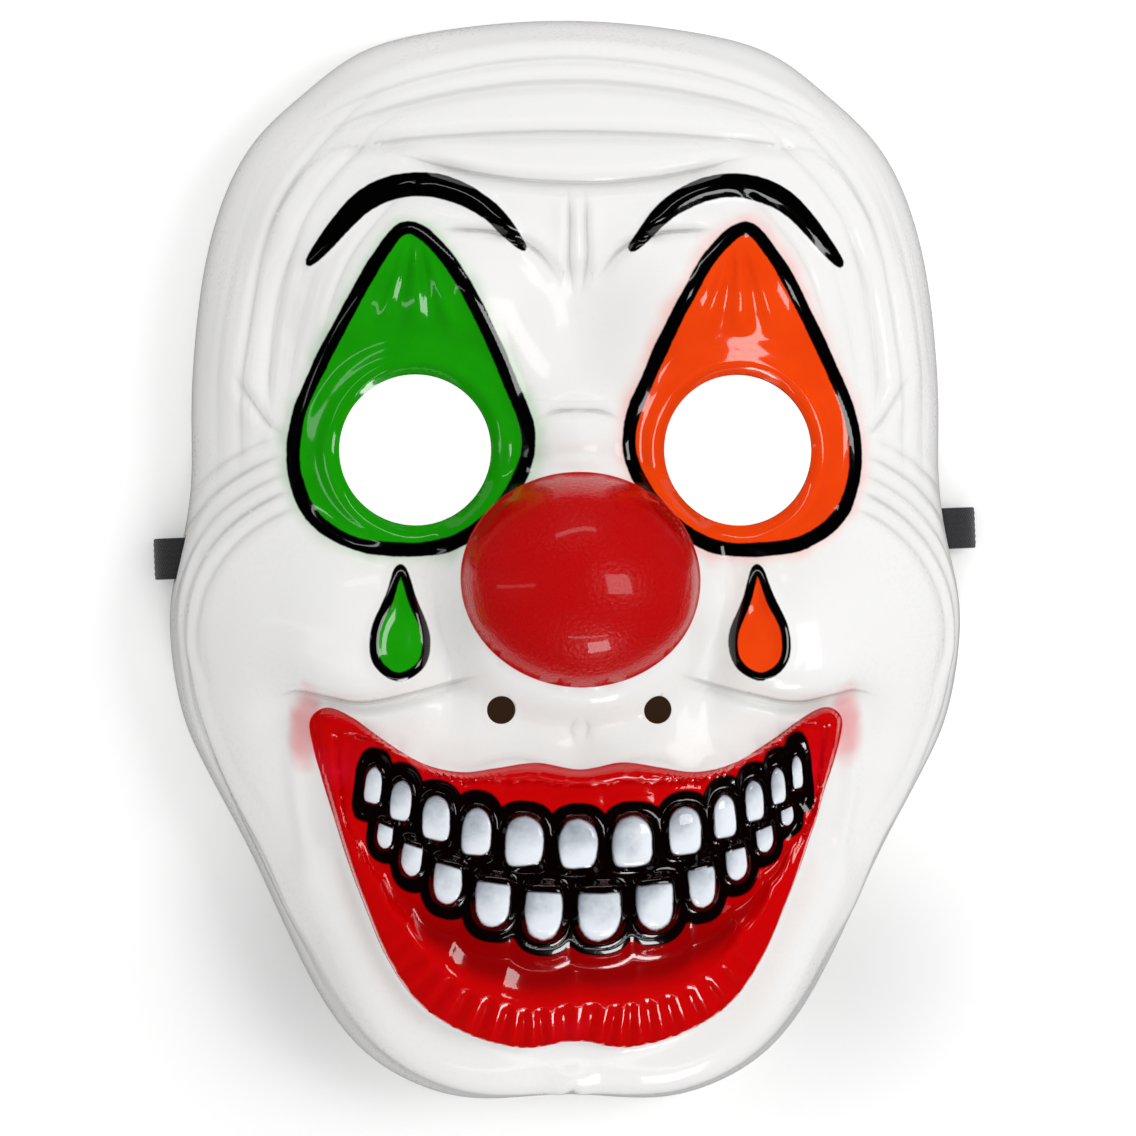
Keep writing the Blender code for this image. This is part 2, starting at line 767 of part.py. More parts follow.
def make_shell(parts, cutters):
    """The formed sheet, thinned to the triangles that its shape needs, and cut."""
    points = sheet_points(round(MASK_WIDTH / SHEET_STEP), round(MASK_HEIGHT / SHEET_STEP))
    shell = add_object("mask_shell", sheet_mesh("mask_shell", points), parts)
    shell.data.materials.append(material("white_plastic", (0.86, 0.86, 0.85), 0.22))
    thin = shell.modifiers.new("thin_out", "DECIMATE")
    thin.use_symmetry = True
    thin.symmetry_axis = "X"
    thin.ratio = SHEET_TRIANGLES / (2 * len(shell.data.polygons))
    wall = shell.modifiers.new("wall", "SOLIDIFY")
    wall.thickness = SHELL_WALL
    wall.offset = -1
    for cutter in shell_cutters(cutters):
        cut = shell.modifiers.new(cutter.name, "BOOLEAN")
        cut.operation = "DIFFERENCE"
        cut.object = cutter
    shell.data.shade_smooth()
    return shell


def loop_path(side):
    """One end of the strap, from its cut end inside, out of the slot, round and back in.

    Each point has its distance out from the middle and its height over the table.
    """
    edge = edge_reach(slot_place_up(side))
    low = STRAP_LOW
    radius = (SLOT_HEIGHT - low) / 2
    turn_x = (LOOP_SPAN - STRAP_THICKNESS) / 2 - radius
    lap_x = edge - LAP_INSIDE
    lap_z = low + STRAP_THICKNESS + LAP_GAP
    upper = [
        (lap_x - SEWN_LENGTH, lap_z),
        (lap_x, lap_z + 0.5 * MM),
        (edge - 6 * MM, SLOT_HEIGHT - 2 * MM),
        (edge - 2 * MM, SLOT_HEIGHT),
        (turn_x, SLOT_HEIGHT),
    ]
    angles = np.linspace(math.pi / 2, -math.pi / 2, 9)[1:]
    turn = [(turn_x + radius * math.cos(a), low + radius + radius * math.sin(a)) for a in angles]
    back = [(x, low) for x in np.linspace(turn_x, lap_x - SEWN_LENGTH, 4)[1:]]
    return np.array([*smooth_path(upper, closed=False, steps=4), *turn, *back])


def strap_path():
    """The whole strap: the left loop, the bowed stretch across the back and the right loop."""
    left = loop_path(-1) * (-1, 1)
    right = loop_path(1)[::-1]
    share = np.linspace(0, 1, 22)[1:-1]
    out = left[-1, 0] + share * (right[0, 0] - left[-1, 0])
    height = STRAP_LOW + STRAP_ARCH * np.sin(math.pi * share) ** 2
    return np.vstack([left, np.stack([out, height], axis=-1), right])


def strap_line(out):
    """How far up the mask the strap's middle line is, at a distance out from the middle."""
    level = (SLOT_UP_LEFT + SLOT_UP_RIGHT) / 2
    across = np.clip(np.abs(out) / (HALF_WIDTH - LAP_INSIDE), 0, 1)
    return level + out * math.tan(strap_lean()) - STRAP_BOW * (1 - across**2) ** 2


def band_points(path):
    """The two edges of a band along a path of distances out and heights."""
    line = np.stack([path[:, 0], strap_line(path[:, 0]), path[:, 1]], axis=-1)
    along = np.gradient(line, axis=0)
    level = (-math.sin(strap_lean()), math.cos(strap_lean()), 0)
    across = np.cross(np.cross(along, level), along)
    across /= np.linalg.norm(across, axis=1)[:, None]
    edge = across * STRAP_WIDTH / 2
    return np.stack([line - edge, line + edge])


def make_strap(parts, cutters):
    """The elastic strap, each looped end joined to it where it is sewn."""
    points = band_points(strap_path())
    strap = add_object("elastic_strap", sheet_mesh("elastic_strap", points), parts)
    wall = strap.modifiers.new("wall", "SOLIDIFY")
    wall.thickness = STRAP_THICKNESS
    wall.offset = 0
    soft = strap.modifiers.new("soft_edges", "BEVEL")
    soft.width = 0.3 * STRAP_THICKNESS
    soft.segments = 1
    strap.data.materials.append(material("black_elastic", (0.02, 0.02, 0.022), 0.85))
    for side, word in ((1, "right"), (-1, "left")):
        slot_up = slot_place_up(side)
        middle = side * (edge_reach(slot_up) - LAP_INSIDE - SEWN_LENGTH / 2)
        place = (middle, float(strap_line(middle)), STRAP_THICKNESS + LAP_GAP / 2)
        size = (0.7 * SEWN_LENGTH, 0.8 * STRAP_WIDTH, STRAP_THICKNESS)
        seam = box_cutter(f"seam_{word}", size, place, (0, 0, strap_lean()), cutters)
        sew = strap.modifiers.new(f"sew_{word}", "BOOLEAN")
        sew.operation = "UNION"
        sew.object = seam
    strap.data.shade_smooth()
    return strap


def main():
    """Builds the mask."""
    for old in list(bpy.data.objects):
        bpy.data.objects.remove(old)
    parts = new_collection("clown_mask")
    cutters = new_collection("cutters")
    make_shell(parts, cutters)
    make_strap(parts, cutters)


main()
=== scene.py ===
"""Looks of a clown mask with an elastic strap, lying face up on a pale floor.

The formed sheet is modelled finely from the same sizes as its plain solid: the paint follows
distances to the lips, teeth, nose and make-up lines, which are kept as attributes on its mesh.
"""

import logging
import math
from collections.abc import Sequence
from dataclasses import dataclass, field
from enum import Enum
from typing import NamedTuple

import bmesh
import bpy
import numpy as np
from mathutils import Matrix

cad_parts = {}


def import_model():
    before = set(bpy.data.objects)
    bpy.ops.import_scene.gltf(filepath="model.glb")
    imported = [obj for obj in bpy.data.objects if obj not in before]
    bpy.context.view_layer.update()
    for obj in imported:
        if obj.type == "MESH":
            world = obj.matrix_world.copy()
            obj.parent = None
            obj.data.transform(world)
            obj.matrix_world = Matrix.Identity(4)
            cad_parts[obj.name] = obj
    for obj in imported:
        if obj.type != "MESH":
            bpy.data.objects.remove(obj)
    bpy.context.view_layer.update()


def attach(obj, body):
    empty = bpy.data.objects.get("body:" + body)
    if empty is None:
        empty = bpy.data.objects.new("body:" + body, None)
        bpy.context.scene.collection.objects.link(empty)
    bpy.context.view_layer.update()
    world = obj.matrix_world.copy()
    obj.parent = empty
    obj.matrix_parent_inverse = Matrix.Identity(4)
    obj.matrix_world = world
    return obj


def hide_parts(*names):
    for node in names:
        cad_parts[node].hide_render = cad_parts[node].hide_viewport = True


LOG = logging.getLogger("clown_mask")
MM = 0.001
# Added to a groove's distance, in mm, for each groove before it in its family
RANK_STEP = 100.0
# The most that a painted edge's distance says either way, in mm
FAR = 500.0
Colour = tuple[float, float, float]


class Side(Enum):
    """The two sides of the mask, as seen by someone who faces it."""

    LEFT = -1
    RIGHT = 1


class Paint(Enum):
    """Attributes on the shell that say how far each point is from a painted edge."""

    LIPS = "lips"
    GUMS = "gums"
    TOOTH = "tooth"
    TOOTH_RISE = "tooth_rise"
    TOOTH_LEAN = "tooth_lean"
    BITE = "bite"
    NOSE = "nose"
    PATCH = "patch"
    DROP = "drop"
    BROW = "brow"
    # How deep each groove is, for painted shade in the grooves
    CREASE = "crease"
    # The share across each lip, for painted shade in the lower lip's hollow
    BASIN = "basin"


class Groove(Enum):
    """Families of grooves, each with its own attribute of distances and strengths."""

    FOREHEAD = "forehead_grooves"
    LAUGH = "laugh_grooves"
    FLOW = "flow_grooves"
    CREASE = "crease_grooves"


class OutlinePoint(NamedTuple):
    """A point of the front outline, as shares of half the height and half the width."""

    up: float
    out: float


class Form(NamedTuple):
    """A broad swelling: places and reaches as shares of the half sizes, rise of the depth."""

    name: str
    out: float
    up: float
    across: float
    along: float
    rise: float


class ForeheadFold(NamedTuple):
    """A groove across the forehead, as shares of the half sizes and of the fold's depth."""

    up: float
    out: float
    sag: float
    depth: float


class LaughLine(NamedTuple):
    """An arc round a cheek: radius as a share of the half width, ends in degrees."""

    radius: float
    start: float
    end: float
    depth: float


class Crease(NamedTuple):
    """A groove on both sides: points as shares of the half sizes, depth of the fold's depth."""

    name: str
    depth: float
    width: float
    points: tuple[tuple[float, float], ...]


class EdgePoint(NamedTuple):
    """A point of a painted outline, as shares of the sizes that it follows."""

    out: float
    up: float


class ToothPlace(NamedTuple):
    """A tooth's middle and half sizes in metres, its lean, and which way it bites."""

    out: float
    up: float
    half_width: float
    half_height: float
    lean: float
    bite_way: float


class FoldLine(NamedTuple):
    """A groove: its signed distances, strengths, width, kind, family and place in the family."""

    distance: np.ndarray
    strength: np.ndarray
    width: float
    ledge: bool
    family: Groove = Groove.CREASE
    rank: float | np.ndarray = 0


class LipProfile(NamedTuple):
    """Height of a lip across its band, from its outer edge, 0, to the gum, 1."""

    across: float
    height: float


class Light(NamedTuple):
    """A soft light's place, width and height, watts, and whether it glints and brightens."""

    name: str
    place: tuple[float, float, float]
    size: tuple[float, float]
    power: float
    glint: bool = True
    bright: bool = True


def rows(kind: type, *values: tuple) -> tuple:
    """A table whose rows have the kind's named columns."""
    return tuple(kind(*row) for row in values)


OUTLINE = rows(
    OutlinePoint,
    (1.000, 0.000), (0.958, 0.465), (0.872, 0.640), (0.758, 0.803), (0.577, 0.897),
    (0.335, 0.937), (0.150, 0.938), (0.031, 0.961), (-0.100, 0.996), (-0.284, 0.963),
    (-0.405, 0.888), (-0.538, 0.791), (-0.686, 0.699), (-0.807, 0.617), (-0.894, 0.535),
    (-0.952, 0.434), (-1.000, 0.250), (-0.988, 0.000),
)

FORMS = rows(
    Form,
    ("muzzle", 0.00, -0.62, 0.52, 0.32, 0.150),
    ("cheek", 0.58, -0.13, 0.29, 0.17, 0.200),
    ("brow", 0.37, 0.47, 0.25, 0.12, 0.080),
    ("frown", 0.00, 0.42, 0.13, 0.15, -0.075),
    ("temple", 0.72, 0.40, 0.10, 0.15, -0.060),
    ("forehead", 0.00, 0.70, 0.50, 0.18, 0.060),
    ("bridge", 0.00, 0.205, 0.13, 0.075, 0.090),
    ("philtrum", 0.00, -0.330, 0.05, 0.05, -0.020),
    ("corner", 0.70, -0.275, 0.07, 0.05, -0.060),
    ("nose_side", 0.315, -0.145, 0.050, 0.12, -0.100),
)

FOREHEAD_FOLDS = rows(
    ForeheadFold,
    (0.676, 0.40, -0.045, 1.30),
    (0.768, 0.60, 0.030, 1.00),
    (0.862, 0.62, 0.090, 0.85),
    (0.909, 0.62, 0.110, 0.75),
)

LAUGH_LINES = rows(
    LaughLine,
    (0.318, -30, 112, 0.70),
    (0.362, -25, 104, 0.90),
    (0.405, -10, 98, 0.65),
    (0.452, 10, 92, 0.70),
    (0.500, 25, 86, 0.45),
)

CREASES = rows(
    Crease,
    ("brow_roll", 1.15, 0.9, ((0.36, 0.59), (0.20, 0.585), (0.105, 0.555), (0.05, 0.505))),
    ("frown", 0.80, 0.5, ((0.022, 0.655), (0.020, 0.60), (0.022, 0.54), (0.010, 0.48))),
    ("bridge", 1.00, 0.5, ((0.0, 0.266), (0.05, 0.264), (0.10, 0.250), (0.16, 0.222))),
    ("eye_corner", 0.70, 0.6, ((0.70, 0.22), (0.76, 0.25), (0.83, 0.33))),
    ("forehead_end", 0.45, 0.8, ((0.58, 0.745), (0.66, 0.70), (0.72, 0.63), (0.75, 0.55))),
    ("temple", 0.40, 0.7, ((0.66, 0.60), (0.73, 0.48), (0.755, 0.34), (0.74, 0.24))),
    ("jaw", 0.80, 0.7, ((0.93, -0.18), (0.905, -0.30), (0.82, -0.46), (0.60, -0.79))),
    ("philtrum", 0.45, 0.4, ((0.012, -0.285), (0.020, -0.30), (0.014, -0.32))),
    ("moustache", 0.30, 0.6, ((0.05, -0.375), (0.16, -0.355), (0.27, -0.375))),
    ("chin", 0.60, 0.8, ((0.0, -0.935), (0.0, -0.96), (0.0, -0.985))),
)

ROLLS = rows(
    Crease,
    ("frown", 1.0, 1.8, ((0.29, 0.53), (0.20, 0.45), (0.13, 0.36), (0.10, 0.27))),
    ("glabella", 0.6, 0.9, ((0.0, 0.66), (0.0, 0.58), (0.0, 0.50))),
    ("chin", 1.9, 1.15, ((0.0, -0.932), (0.26, -0.924), (0.46, -0.82), (0.62, -0.56))),
    ("jaw", 1.2, 1.7, ((0.77, -0.30), (0.78, -0.42), (0.72, -0.55), (0.61, -0.72))),
    ("temple", 1.1, 1.1, ((0.64, 0.67), (0.78, 0.52), (0.82, 0.38), (0.81, 0.22))),
    ("facet", 0.75, 0.34, ((0.685, -0.30), (0.678, -0.37), (0.663, -0.455), (0.622, -0.57))),
)

SMILE_FOLD = rows(
    EdgePoint,
    (0.34, 1.220), (0.43, 1.176), (0.64, 1.085), (0.81, 1.035), (0.95, 1.070), (1.05, 1.100),
    (1.15, 1.060),
)

LIP_EDGE = rows(
    EdgePoint,
    (0.000, 0.640), (0.160, 0.682), (0.310, 0.650), (0.440, 0.625), (0.580, 0.672),
    (0.726, 0.806), (0.845, 0.940), (0.940, 1.000), (0.998, 0.930), (0.985, 0.780),
    (0.940, 0.540), (0.872, 0.210), (0.796, -0.110), (0.696, -0.460), (0.570, -0.722),
    (0.387, -0.885), (0.193, -0.945), (0.000, -0.905),
)

UPPER_LIP = rows(
    LipProfile,
    (-0.25, 0.00), (0.00, 0.18), (0.12, 0.62), (0.26, 0.78), (0.38, 0.62), (0.44, 0.34),
    (0.52, 0.46), (0.75, 0.32), (1.00, 0.00),
)

LOWER_LIP = rows(
    LipProfile,
    (-0.45, 0.00), (-0.20, -0.20), (-0.07, -0.30), (-0.01, -0.05), (0.04, 0.62), (0.10, 0.96),
    (0.20, 1.10), (0.34, 1.20), (0.46, 1.26), (0.53, 1.18), (0.62, 0.66), (0.78, -0.02),
    (1.00, -0.10),
)

UPPER_GAPS = (
    -0.966, -0.856, -0.722, -0.546, -0.364, -0.126, 0.112, 0.364, 0.576, 0.726, 0.850, 0.948, 1.026
)
LOWER_GAPS = (
    -0.912, -0.806, -0.672, -0.492, -0.272, -0.040, 0.224, 0.462, 0.638, 0.780, 0.898, 0.990
)

PATCH = rows(
    EdgePoint,
    (0.06, 0.690), (0.30, 0.600), (0.54, 0.440), (0.78, 0.270), (0.97, 0.100), (1.00, -0.060),
    (0.86, -0.200), (0.54, -0.285), (0.14, -0.310), (-0.26, -0.295), (-0.60, -0.215),
    (-0.86, -0.080), (-0.92, 0.060), (-0.74, 0.240), (-0.52, 0.420), (-0.24, 0.600),
)

DROP = rows(
    EdgePoint,
    (0.00, 0.00), (0.42, -0.28), (0.92, -0.58), (0.86, -0.86), (0.10, -1.00), (-0.72, -0.88),
    (-0.88, -0.62), (-0.42, -0.30),
)

BROW = rows(
    EdgePoint,
    (-1.00, -0.30), (-0.62, -0.10), (-0.10, 0.00), (0.45, -0.07), (0.98, -0.36),
)


LIGHTS = rows(
    Light,
    ("key_softbox", (0.62, 0.06, 0.98), (0.42, 0.42), 3.5),
    ("crown_strip", (-0.1, 1.05, 0.62), (0.9, 0.10), 1.3),
    ("left_strip", (-1.1, 0.1, 0.62), (0.08, 0.9), 0.5),
    ("chin_strip", (0.1, -1.05, 0.62), (0.6, 0.05), 0.5),
    ("lip_glint", (0.25, -1.15, 0.36), (0.30, 0.30), 3.6, True, False),
    ("crown_fill", (0.0, 1.10, 0.58), (1.2, 0.4), 1.6, False),
    ("chin_fill", (0.1, -1.05, 0.85), (1.4, 0.7), 2.4, False),
)


def gaussian(distance: np.ndarray, width: float) -> np.ndarray:
    """1 at no distance, falling smoothly to nothing past twice the width."""
    return np.exp(-((distance / width) ** 2))


def smooth_step(start: float, end: float, value: np.ndarray) -> np.ndarray:
    """0 before start, 1 after end, and smooth in between."""
    share = np.clip((value - start) / (end - start), 0, 1)
    return share * share * (3 - 2 * share)


def smooth_path(points: Sequence[tuple[float, float]], closed: bool, steps: int = 6) -> np.ndarray:
    """Points along the smooth curve through the given points.

    Args:
        points: The points that the curve runs through.
        closed: Whether the curve goes back to its first point.
        steps: How many points to make from each one to the next.

    Returns:
        One row for each point of the curve.
    """
    corners = np.array(points, float)
    if closed:
        start = corners
        before, after, far = (np.roll(corners, shift, 0) for shift in (1, -1, -2))
    else:
        ends = np.vstack([2 * corners[0] - corners[1], corners, 2 * corners[-1] - corners[-2]])
        before, start, after, far = ends[:-3], ends[1:-2], ends[2:-1], ends[3:]
    a, b, c, d = (p[:, None, :] for p in (before, start, after, far))
    t = np.linspace(0, 1, steps, endpoint=False)[None, :, None]
    curve = 2 * b + (c - a) * t + (2 * a - 5 * b + 4 * c - d) * t**2
    curve = (curve + (3 * b - a - 3 * c + d) * t**3) / 2
    last = corners[:1] if closed else corners[-1:]
    return np.vstack([curve.reshape(-1, corners.shape[1]), last])


def mirrored(half: Sequence[tuple[float, float]]) -> list[tuple[float, float]]:
    """A closed outline from its right half, whose first and last points are on the middle."""
    return list(half) + [(-x, y) for x, y in reversed(half[1:-1])]


class PathPlace(NamedTuple):
    """Distances from a path, lengths along it, and the side of it, -1 or 1."""

    distance: np.ndarray
    along: np.ndarray
    side: np.ndarray


def path_distance(x: np.ndarray, y: np.ndarray, path: np.ndarray) -> PathPlace:
    """How far each point is from a path, and where along the path its nearest point is.

    Args:
        x: Places across the mask.
        y: Places up the mask.
        path: The path's points, one row each.

    Returns:
        The distances, the lengths along the path and the sides.
    """
    best = np.full(x.shape, np.inf)
    along, side = np.zeros(x.shape), np.ones(x.shape)
    travelled = 0.0
    for (x0, y0), (x1, y1) in zip(path[:-1], path[1:]):
        length = math.hypot(x1 - x0, y1 - y0)
        if length == 0:
            continue
        share = ((x - x0) * (x1 - x0) + (y - y0) * (y1 - y0)) / length**2
        share = np.clip(share, 0, 1)
        distance = np.hypot(x - x0 - share * (x1 - x0), y - y0 - share * (y1 - y0))
        nearer = distance < best
        best = np.where(nearer, distance, best)
        along = np.where(nearer, travelled + share * length, along)
        turned = (x1 - x0) * (y - y0) - (y1 - y0) * (x - x0)
        side = np.where(nearer, np.where(turned < 0, -1.0, 1.0), side)
        travelled += length
    return PathPlace(best, along, side)


def path_length(path: np.ndarray) -> float:
    """The whole length of a path."""
    return float(np.linalg.norm(np.diff(path, axis=0), axis=1).sum())


def inside_distance(x: np.ndarray, y: np.ndarray, path: np.ndarray) -> tuple[np.ndarray, np.ndarray]:
    """As path_distance for a closed path, with the distance negative outside it.

    Args:
        x: Places across the mask.
        y: Places up the mask.
        path: The path's points, one row each.

    Returns:
        The distances, and the lengths along the path.
    """
    distance, along, _ = path_distance(x, y, path)
    inside = np.zeros(x.shape, bool)
    for (x0, y0), (x1, y1) in zip(path[:-1], path[1:]):
        if y0 != y1:
            crosses = (y0 > y) != (y1 > y)
            inside ^= crosses & (x < x0 + (y - y0) * (x1 - x0) / (y1 - y0))
    return np.where(inside, distance, -distance), along


def sorted_pair(keys: np.ndarray, values: np.ndarray) -> tuple[np.ndarray, np.ndarray]:
    """Both arrays in rising order of the first."""
    order = np.argsort(keys)
    return keys[order], values[order]


@dataclass
class MaskForm:
    """The shape of the face, as heights over the plane that the mask lies on."""

    height: float = 249.5 * MM
    width: float = 184 * MM
    depth: float = 58 * MM
    squareness: float = 2.35
    outline_steps: int = 720
    corner_ease: float = 4.0
    eye_spacing: float = 72.4 * MM
    eye_height: float = 24.5 * MM
    eye_hole: float = 33.8 * MM
    socket_depth: float = 6.5 * MM
    socket_radius: float = 25 * MM
    lid_width: float = 5 * MM
    lid_stand: float = 2.2 * MM
    nose_width: float = 52 * MM
    nose_height: float = 46.6 * MM
    nose_stand: float = 19.5 * MM
    nose_drop: float = 4.4 * MM
    collar_width: float = 64 * MM
    collar_height: float = 58 * MM
    collar_stand: float = 10 * MM
    collar_drop: float = 7.6 * MM
    nostril_spacing: float = 34.8 * MM
    nostril_drop: float = 33.4 * MM
    nostril_hole: float = 6.3 * MM
    mouth_width: float = 119 * MM
    mouth_height: float = 76 * MM
    mouth_drop: float = 71.3 * MM
    lip_stand: float = 4.6 * MM
    rib_pitch: float = 5.2 * MM
    rib_depth: float = 1.2 * MM
    row_width: float = 100 * MM
    bite_drop: float = 70.5 * MM
    upper_tooth: float = 14.5 * MM
    lower_tooth: float = 16 * MM
    tooth_gap: float = 0.5 * MM
    bite_squareness: float = 4.5
    gum_roundness: float = 2.5
    tooth_stand: float = 3.0 * MM
    gum_stand: float = 2.0 * MM
    bite_rise: float = 0.37
    upper_gum_rise: float = 0.27
    lower_gum_rise: float = 0.60
    patch_height: float = 72 * MM
    patch_width: float = 54 * MM
    drop_height: float = 24 * MM
    drop_width: float = 12.5 * MM
    drop_side: float = 3.5 * MM
    drop_below_eye: float = 26.5 * MM
    line_width: float = 3.4 * MM
    line_stand: float = 1.1 * MM
    brow_width: float = 5.6 * MM
    brow_stand: float = 1.8 * MM
    brow_span: float = 48 * MM
    brow_height: float = 84 * MM
    pleats: float = 3.0
    pleat_depth: float = 0.7 * MM
    fold_width: float = 5.0 * MM
    fold_depth: float = 1.7 * MM
    laugh_fade: float = 30
    flow_count: float = 17.0
    flow_strength: float = 0.6
    skirt: float = 3 * MM

    def __post_init__(self) -> None:
        """Works out the paths that the forms and the paint share."""
        self.half_width = self.width / 2
        self.half_height = self.height / 2
        self.eye_x = self.eye_spacing / 2
        self.outline = self.outline_path()
        self.lips = smooth_path(mirrored([self.mouth_point(p) for p in LIP_EDGE]), closed=True)
        self.smile = smooth_path([self.mouth_point(p) for p in SMILE_FOLD], closed=False)
        self.patch = smooth_path([self.patch_point(p) for p in PATCH], closed=True)
        self.drop = smooth_path([self.drop_point(p) for p in DROP], closed=True)
        self.brow = smooth_path([self.brow_point(p) for p in BROW], closed=False)
        self.teeth = self.tooth_places()

    def mouth_point(self, point: EdgePoint) -> tuple[float, float]:
        """A point given as shares of the mouth's half sizes."""
        return point.out * self.mouth_width / 2, point.up * self.mouth_height / 2 - self.mouth_drop

    def patch_point(self, point: EdgePoint) -> tuple[float, float]:
        """A point of the right eye's patch."""
        across = self.eye_x + point.out * self.patch_width / 2
        return across, self.eye_height + point.up * self.patch_height

    def drop_point(self, point: EdgePoint) -> tuple[float, float]:
        """A point of the drop under the right eye."""
        across = self.eye_x + self.drop_side + point.out * self.drop_width / 2
        return across, self.eye_height - self.drop_below_eye + point.up * self.drop_height

    def brow_point(self, point: EdgePoint) -> tuple[float, float]:
        """A point of the right brow's middle line."""
        return self.eye_x + point.out * self.brow_span / 2, self.brow_height + point.up * self.brow_span

    def outline_path(self) -> np.ndarray:
        """The mask's front outline as a closed smooth path, with its corners eased.

        Returns:
            The path's points, one row each.
        """
        half = [(p.out * self.half_width, p.up * self.half_height) for p in OUTLINE]
        path = smooth_path(mirrored(half), closed=True)
        turns = np.linspace(-math.pi, math.pi, self.outline_steps, endpoint=False)
        angles = np.arctan2(path[:, 1], path[:, 0])
        radii = np.interp(turns, *sorted_pair(angles, np.hypot(*path.T)), period=2 * math.pi)
        weights = gaussian(np.minimum(turns + math.pi, math.pi - turns), math.radians(self.corner_ease))
        eased = np.fft.irfft(np.fft.rfft(radii) * np.fft.rfft(weights / weights.sum()), len(radii))
        path = np.stack([eased * np.cos(turns), eased * np.sin(turns)], axis=-1)
        return np.vstack([path, path[:1]])

    def outline_share(self, x: np.ndarray, y: np.ndarray) -> np.ndarray:
        """How far each point is from the middle, as a share of its outline's radius.

        Args:
            x: Places across the mask.
            y: Places up the mask.

        Returns:
            The shares, 1 on the outline.
        """
        path = self.outline
        angles, radii = sorted_pair(np.arctan2(path[:, 1], path[:, 0]), np.hypot(*path.T))
        return np.hypot(x, y) / np.interp(np.arctan2(y, x), angles, radii, period=2 * math.pi)

    def edge_reach(self, up: float) -> float:
        """How far the mask's edge is from its middle at this height up the mask."""
        right = self.outline[self.outline[:, 0] > 0]
        return float(np.interp(up, *sorted_pair(right[:, 1], right[:, 0])))

    def dome(self, share: np.ndarray) -> np.ndarray:
        """Height of the plain dome at a share of the way from the middle to the outline."""
        inner = np.clip(1 - share**self.squareness, 0, 1)
        return self.depth * inner ** (1 / self.squareness)

    def broad_forms(self, x: np.ndarray, y: np.ndarray) -> np.ndarray:
        """The muzzle, cheeks, brows and other broad swellings.

        Args:
            x: Places across the mask.
            y: Places up the mask.

        Returns:
            The heights, in metres.
        """
        height = np.zeros(x.shape)
        for form in FORMS:
            for side in (1, -1) if form.out else (1,):
                across = (x - side * form.out * self.half_width) / (form.across * self.half_width)
                along = (y - form.up * self.half_height) / (form.along * self.half_height)
                swelling = form.rise * self.depth * np.exp(-(across**2) - along**2)
                height += swelling * self.off_ball(x, y) if form.name == "bridge" else swelling
        return height

    def eye_forms(self, x: np.ndarray, y: np.ndarray) -> np.ndarray:
        """A hollow socket round each eye opening, its raised lid and the pleats over it.

        Args:
            x: Places across the mask.
            y: Places up the mask.

        Returns:
            The heights, in metres.
        """
        across, up = np.abs(x) - self.eye_x, y - self.eye_height
        distance = np.hypot(across, up)
        height = -self.socket_depth * gaussian(distance, self.socket_radius)
        lid_middle = (self.eye_hole + self.lid_width) / 2
        lid = self.lid_stand * gaussian(distance - lid_middle, self.lid_width / 2)
        height += lid * self.off_ball(x, y)
        above = smooth_step(0.0, 0.35 * self.eye_hole, up)
        fold = distance - lid_middle - 0.75 * self.lid_width
        height += 0.35 * self.lid_stand * above * gaussian(fold, self.lid_width / 3)
        reach = up / self.patch_height
        room = np.clip(1 - reach / 0.72, 0.05, 1) * self.patch_width / 2
        spread = across / room
        fade = smooth_step(0.34, 0.42, reach) * (1 - smooth_step(0.56, 0.66, reach))
        fade *= 1 - smooth_step(0.55, 0.85, np.abs(spread))
        return height + self.pleat_depth * fade * np.cos(math.pi * self.pleats * spread)

    def ball_share(self, x: np.ndarray, y: np.ndarray) -> np.ndarray:
        """How far each point is from the ball nose's middle, as a share of its radius."""
        return np.hypot(2 * x / self.nose_width, 2 * (y + self.nose_drop) / self.nose_height)

    def off_ball(self, x: np.ndarray, y: np.ndarray) -> np.ndarray:
        """0 on the ball nose and 1 away from it, smooth in between."""
        return smooth_step(0.92, 1.16, self.ball_share(x, y))

    def collar_share(self, x: np.ndarray, y: np.ndarray) -> np.ndarray:
        """How far each point is from the collar's middle, as a share of its radius."""
        return np.hypot(2 * x / self.collar_width, 2 * (y + self.collar_drop) / self.collar_height)

    def nose_form(self, x: np.ndarray, y: np.ndarray) -> np.ndarray:
        """The flared collar, and the ball that stands out of it.

        Args:
            x: Places across the mask.
            y: Places up the mask.

        Returns:
            The heights, in metres.
        """
        collar = self.collar_share(x, y)
        height = self.collar_stand * (1 - smooth_step(0.74, 1.10, collar))
        low = smooth_step(2 * MM, -14 * MM, y)
        off_end = (collar - 1) * self.collar_height / 2
        height += low * 0.9 * MM * (gaussian(off_end + 1.6 * MM, 2.4 * MM) - gaussian(off_end, 1.1 * MM))
        rim = np.hypot(np.abs(x) - self.nostril_spacing / 2, y + self.nostril_drop)
        height += 0.35 * MM * gaussian(rim - self.nostril_hole / 2 - 0.3 * MM, 0.7 * MM)
        return height + self.nose_stand * np.clip(1 - self.ball_share(x, y) ** 2, 0, 1) ** 0.62

    def groove(self, distance: np.ndarray, width: float = 1.0) -> np.ndarray:
        """A narrow groove, with a soft swelling on either side of it."""
        dip = gaussian(distance, max(1.25 * MM, self.fold_width * width * 0.32))
        return self.fold_depth * (0.60 * gaussian(distance, self.fold_width * width) - 1.15 * dip)

    def ledge(self, distance: np.ndarray, width: float = 1.0) -> np.ndarray:
        """A fold whose upper side hangs over its lower one.

        Args:
            distance: Signed distances from the fold.
            width: The fold's width, as a share of the usual one.

        Returns:
            The heights, in metres.
        """
        reach = self.fold_width * width
        upper = gaussian(distance - 0.55 * reach, 0.62 * reach)
        lower = gaussian(distance + 0.16 * self.fold_width, 0.34 * self.fold_width)
        return self.fold_depth * (0.75 * upper - 0.80 * lower)

